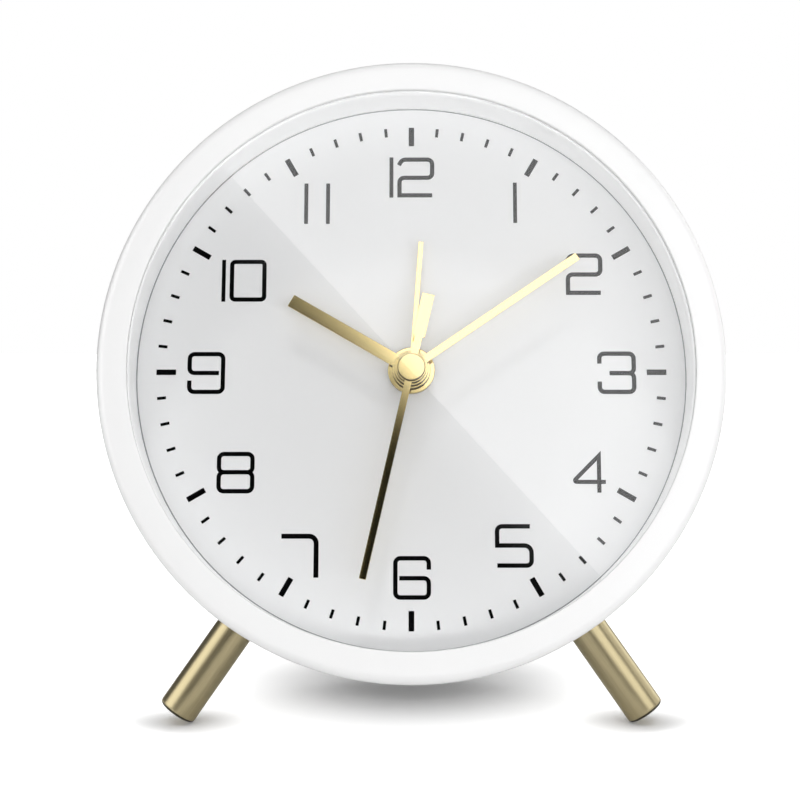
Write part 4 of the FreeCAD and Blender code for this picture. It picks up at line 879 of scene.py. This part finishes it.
forward = Vector((0, math.cos(LOOK_DOWN), -math.sin(LOOK_DOWN)))
upward = Vector((0, math.sin(LOOK_DOWN), math.cos(LOOK_DOWN)))
eye = DIAL_MIDDLE - (forward * CAMERA_AWAY + upward * CAMERA_DROP) * MM
view = bpy.data.cameras.new("view")
view.lens = LENS
view.sensor_width = SENSOR
view.shift_x = (PICTURE / 2 - MIDDLE_X) / PICTURE
view.clip_start = 0.01
camera = bpy.data.objects.new("camera", view)
camera.location = eye
camera.rotation_euler = (math.pi / 2 - LOOK_DOWN, 0, 0)
bpy.context.collection.objects.link(camera)
bpy.context.scene.camera = camera


# Stage

def sheet_of(name, corners, material):
    """A flat sheet of the stage, which isn't part of the clock."""
    data = bpy.data.meshes.new(name)
    data.from_pydata([tuple(corner) for corner in corners], [], [tuple(range(len(corners)))])
    data.materials.append(material)
    thing = bpy.data.objects.new(name, data)
    bpy.context.collection.objects.link(thing)
    return thing


def floor_white():
    """The white table top, seen lighter than it is lit but for its spots of shadow."""
    material, tree, shader, places = new_material("floor_white")
    shader.inputs["Base Color"].default_value = (0.86, 0.86, 0.86, 1)
    shader.inputs["Roughness"].default_value = 0.9
    shader.inputs["Specular IOR Level"].default_value = 0.0
    level = None
    for middle, reach, start, lowest in SHADOW_SPOTS:
        offset = add(tree, "ShaderNodeVectorMath", {0: places.outputs["Object"], 1: middle},
                     operation="SUBTRACT")
        shares = add(tree, "ShaderNodeVectorMath", {0: offset.outputs[0], 1: reach},
                     operation="DIVIDE")
        away = add(tree, "ShaderNodeVectorMath", {0: shares.outputs[0]}, operation="LENGTH")
        spot = add(tree, "ShaderNodeMapRange",
                   {"Value": away.outputs["Value"], "From Min": start, "To Min": lowest,
                    "To Max": CLEAR_LIFT}, interpolation_type="SMOOTHSTEP")
        if level is None:
            level = spot.outputs["Result"]
        else:
            level = add(tree, "ShaderNodeMath", {0: level, 1: spot.outputs["Result"]},
                        operation="MINIMUM").outputs[0]
    rays = add(tree, "ShaderNodeLightPath")
    lift = add(tree, "ShaderNodeMath", {0: rays.outputs["Is Camera Ray"], 1: level},
               operation="MULTIPLY")
    shader.inputs["Emission Color"].default_value = (1, 1, 1, 1)
    tree.links.new(lift.outputs[0], shader.inputs["Emission Strength"])
    return material


def card_light(name, strength, fade=None):
    """A card that only polished surfaces see: scattered light goes through it.

    A fade has a spot, a direction from it and a length. The light falls off along it."""
    material = bpy.data.materials.new(name)
    material.use_nodes = True
    tree = material.node_tree
    tree.nodes.clear()
    rays = add(tree, "ShaderNodeLightPath")
    scattered = add(tree, "ShaderNodeMath", {0: rays.outputs["Diffuse Depth"], 1: 0.5},
                    operation="GREATER_THAN")
    glow = add(tree, "ShaderNodeEmission", {"Strength": strength})
    glow.inputs["Color"].default_value = (1, 1, 1, 1)
    if fade:
        start, towards, length = fade
        places = add(tree, "ShaderNodeTexCoord")
        offset = add(tree, "ShaderNodeVectorMath", {0: places.outputs["Object"], 1: start},
                     operation="SUBTRACT")
        along = add(tree, "ShaderNodeVectorMath", {0: offset.outputs[0], 1: towards / length},
                    operation="DOT_PRODUCT")
        left = add(tree, "ShaderNodeMapRange", {"Value": along.outputs["Value"],
                                                "To Min": 1.0, "To Max": 0.0})
        fallen = add(tree, "ShaderNodeMath", {0: left.outputs["Result"], 1: 2.0},
                     operation="POWER")
        level = add(tree, "ShaderNodeMath", {0: fallen.outputs[0], 1: strength},
                    operation="MULTIPLY")
        tree.links.new(level.outputs[0], glow.inputs["Strength"])
    clear = add(tree, "ShaderNodeBsdfTransparent")
    mix = add(tree, "ShaderNodeMixShader", {"Fac": scattered.outputs[0]})
    tree.links.new(glow.outputs["Emission"], mix.inputs[1])
    tree.links.new(clear.outputs["BSDF"], mix.inputs[2])
    out = add(tree, "ShaderNodeOutputMaterial")
    tree.links.new(mix.outputs["Shader"], out.inputs["Surface"])
    return material


def only_in_reflections(thing):
    """Hides a card from the camera, and keeps it from lighting or shading the scene."""
    thing.visible_camera = False
    thing.visible_diffuse = False
    thing.visible_volume_scatter = False
    thing.visible_shadow = False


# The camera sees the floor lighter than it is lit, so that it ends white, but for three
# spots of shadow: one beneath the drum and one at the foot of each leg. Each spot has a
# middle, the half widths at which it is gone, the share of them where it starts to fade and
# the least that the floor is lifted there.
CLEAR_LIFT = 0.8
DRUM_SHADOW = Vector((0, DIAL_MIDDLE.y + 0.024, 0))
DRUM_SHADOW_REACH = (0.052, 0.0425, 1)
FOOT_SHADOW_REACH = (0.0185, 0.0125, 1)
LEG_FOOT = TO_ROW @ Vector((46.5, -67, -6.8))
SHADOW_SPOTS = [(DRUM_SHADOW, DRUM_SHADOW_REACH, 0.2, 0.0)]
for side in (-1, 1):
    SHADOW_SPOTS.append(((side * LEG_FOOT.x, LEG_FOOT.y, 0), FOOT_SHADOW_REACH, 0.1, 0.1))
FLOOR_SIZE = 3.0
sheet_of("floor", [(-FLOOR_SIZE, -FLOOR_SIZE, 0), (FLOOR_SIZE, -FLOOR_SIZE, 0),
                   (FLOOR_SIZE, FLOOR_SIZE, 0), (-FLOOR_SIZE, FLOOR_SIZE, 0)], floor_white())

# The glare on the glass is one bright card. Its edge is where the photograph's glare ends,
# found by mirroring the camera's rays through those two spots in the glass.
# GLARE_INSIDE is a spot within the glare. A second card, on the other side of that edge, fades
# out towards SHADE_END, so that the hands are dark where they point away from the glare.
GLARE_START = (221, 165)
GLARE_END = (597, 572)
GLARE_INSIDE = (600, 200)
GLARE_AWAY = 0.6
GLARE_BESIDE = 0.06
GLARE_REACH = 0.27
GLARE_STRENGTH = 1.95
SHADE_END = (362, 414)
SHADE_REACH = 0.5
SHADE_STRENGTH = 0.72
GLASS_FRONT = heights_of("lens")[1]


def mirrored(spot, away):
    """Where the camera's ray through a spot of the picture goes after the glass."""
    focal = LENS / SENSOR * PICTURE
    ray = (forward * focal + TO_RIGHT * (spot[0] - MIDDLE_X)
           + upward * (PICTURE / 2 - spot[1])).normalized()
    glass = TO_ROW @ Vector((0, 0, GLASS_FRONT))
    reach = (glass - eye).dot(OUT_OF_DIAL) / ray.dot(OUT_OF_DIAL)
    hit = eye + ray * reach
    bounced = ray - OUT_OF_DIAL * 2 * ray.dot(OUT_OF_DIAL)
    return hit + bounced * (away / -bounced.y)


edge_start, edge_end = mirrored(GLARE_START, GLARE_AWAY), mirrored(GLARE_END, GLARE_AWAY)
along_edge = (edge_end - edge_start).normalized()
into_glare = Vector((-along_edge.z, 0, along_edge.x))
if into_glare.dot(mirrored(GLARE_INSIDE, GLARE_AWAY) - edge_start) < 0:
    into_glare = -into_glare


def edge_card(name, beside, across, material):
    """A card along the glare's edge, longer than it at both ends, and as wide as across."""
    start = edge_start - along_edge * beside
    end = edge_end + along_edge * beside
    only_in_reflections(sheet_of(name, [start, end, end + across, start + across], material))


shade_fade = -into_glare.dot(mirrored(SHADE_END, GLARE_AWAY) - edge_start)
edge_card("glare_card", GLARE_BESIDE, into_glare * GLARE_REACH,
          card_light("glare_light", GLARE_STRENGTH))
edge_card("shade_card", SHADE_REACH, -into_glare * SHADE_REACH,
          card_light("shade_dark", SHADE_STRENGTH, (edge_start, -into_glare, shade_fade)))

# Upright strips of light draw the bright lines along the legs: one on each side in front, and
# two at the right and behind it for the bright edge of the right leg.
STRIP_AWAY = 0.6
STRIP_BOTTOM = 0.04
STRIP_TOP = 0.6


def strip_card(name, azimuth, width, strength):
    """An upright strip. Azimuth 0 is in front of the clock and 90 to its right."""
    turn = math.radians(azimuth)
    towards = Vector((math.sin(turn), -math.cos(turn), 0))
    beside = Vector((math.cos(turn), math.sin(turn), 0)) * width / 2
    middle = towards * STRIP_AWAY
    low, high = Vector((0, 0, STRIP_BOTTOM)), Vector((0, 0, STRIP_TOP))
    strip = sheet_of(name, [middle - beside + low, middle + beside + low,
                            middle + beside + high, middle - beside + high],
                     card_light(f"{name}_light", strength))
    only_in_reflections(strip)


strip_card("strip_left", azimuth=-64, width=0.56, strength=1.9)
strip_card("strip_right", azimuth=41, width=0.4, strength=1.7)
strip_card("strip_side", azimuth=86, width=0.2, strength=1.2)
strip_card("strip_edge", azimuth=118, width=0.34, strength=1.6)

# A dim card to the left in front keeps the middle of the left leg brown, not black.
DIM_LEFT = -0.8
DIM_RIGHT = -0.23
DIM_TOP = 0.7
DIM_FRONT = -0.55
DIM_STRENGTH = 0.3
only_in_reflections(sheet_of(
    "dim_card", [(DIM_LEFT, DIM_FRONT, 0), (DIM_RIGHT, DIM_FRONT, 0),
                 (DIM_RIGHT, DIM_FRONT, DIM_TOP), (DIM_LEFT, DIM_FRONT, DIM_TOP)],
    card_light("dim_light", DIM_STRENGTH)))


# Lamps and backdrop

def new_lamp(name, kind, power, towards):
    """A lamp that points along a direction. Polished surfaces and glass don't show it."""
    light = bpy.data.lights.new(name, kind)
    light.energy = power
    thing = bpy.data.objects.new(name, light)
    thing.rotation_euler = towards.to_track_quat("-Z", "Y").to_euler()
    thing.visible_glossy = False
    thing.visible_transmission = False
    bpy.context.collection.objects.link(thing)
    return thing


def far_lamp(name, elevation, azimuth, softness, power):
    """A far, soft lamp. Azimuth 0 is in front of the clock and 90 to its right."""
    rise, around = math.radians(elevation), math.radians(azimuth)
    source = Vector((math.cos(rise) * math.sin(around), -math.cos(rise) * math.cos(around),
                     math.sin(rise)))
    thing = new_lamp(name, "SUN", power, -source)
    thing.data.angle = math.radians(softness)


def low_lamp(name, spot, width, height, power):
    """A broad lamp close to the floor in front of the clock, which lights it from below."""
    thing = new_lamp(name, "AREA", power, DIAL_MIDDLE - spot)
    thing.data.shape = "RECTANGLE"
    thing.data.size = width
    thing.data.size_y = height
    thing.location = spot
    thing.visible_camera = False


# The camera sees a white backdrop. Scattered light gets less of it, so that the lamps shape
# the drum, and polished surfaces see a dim surround with the bright cards in it. A ray that
# has passed the glass counts as glossy too, and only its Diffuse Depth tells where it is from.
BACKDROP_SEEN = 1.0
BACKDROP_SCATTERED = 0.48
BACKDROP_MIRRORED = 0.1


def make_backdrop():
    """The white surround, dimmer for all but the camera."""
    world = bpy.data.worlds.new("studio")
    bpy.context.scene.world = world
    world.use_nodes = True
    tree = world.node_tree
    tree.nodes.clear()
    rays = add(tree, "ShaderNodeLightPath")
    polished = add(tree, "ShaderNodeMath", {0: 0.5, 1: rays.outputs["Diffuse Depth"]},
                   operation="GREATER_THAN")
    mirrored_ray = add(tree, "ShaderNodeMath", {0: polished.outputs[0],
                                                1: rays.outputs["Is Glossy Ray"]},
                       operation="MULTIPLY")
    unseen = ranged(tree, mirrored_ray.outputs[0], BACKDROP_SCATTERED, BACKDROP_MIRRORED)
    strength = ranged(tree, rays.outputs["Is Camera Ray"], unseen, BACKDROP_SEEN)
    backdrop = add(tree, "ShaderNodeBackground", {"Strength": strength})
    backdrop.inputs["Color"].default_value = (1, 1, 1, 1)
    out = add(tree, "ShaderNodeOutputWorld")
    tree.links.new(backdrop.outputs["Background"], out.inputs["Surface"])


make_backdrop()
far_lamp("key", elevation=79, azimuth=0, softness=4, power=0.4)
far_lamp("top", elevation=70, azimuth=0, softness=45, power=0.72)
far_lamp("front", elevation=4, azimuth=0, softness=16, power=0.2)
low_lamp("low_front", Vector((0.14, -0.5, 0.05)), width=0.7, height=0.06, power=0.98)
far_lamp("back", elevation=35, azimuth=180, softness=30, power=0.7)

bpy.context.scene.view_settings.view_transform = "Standard"
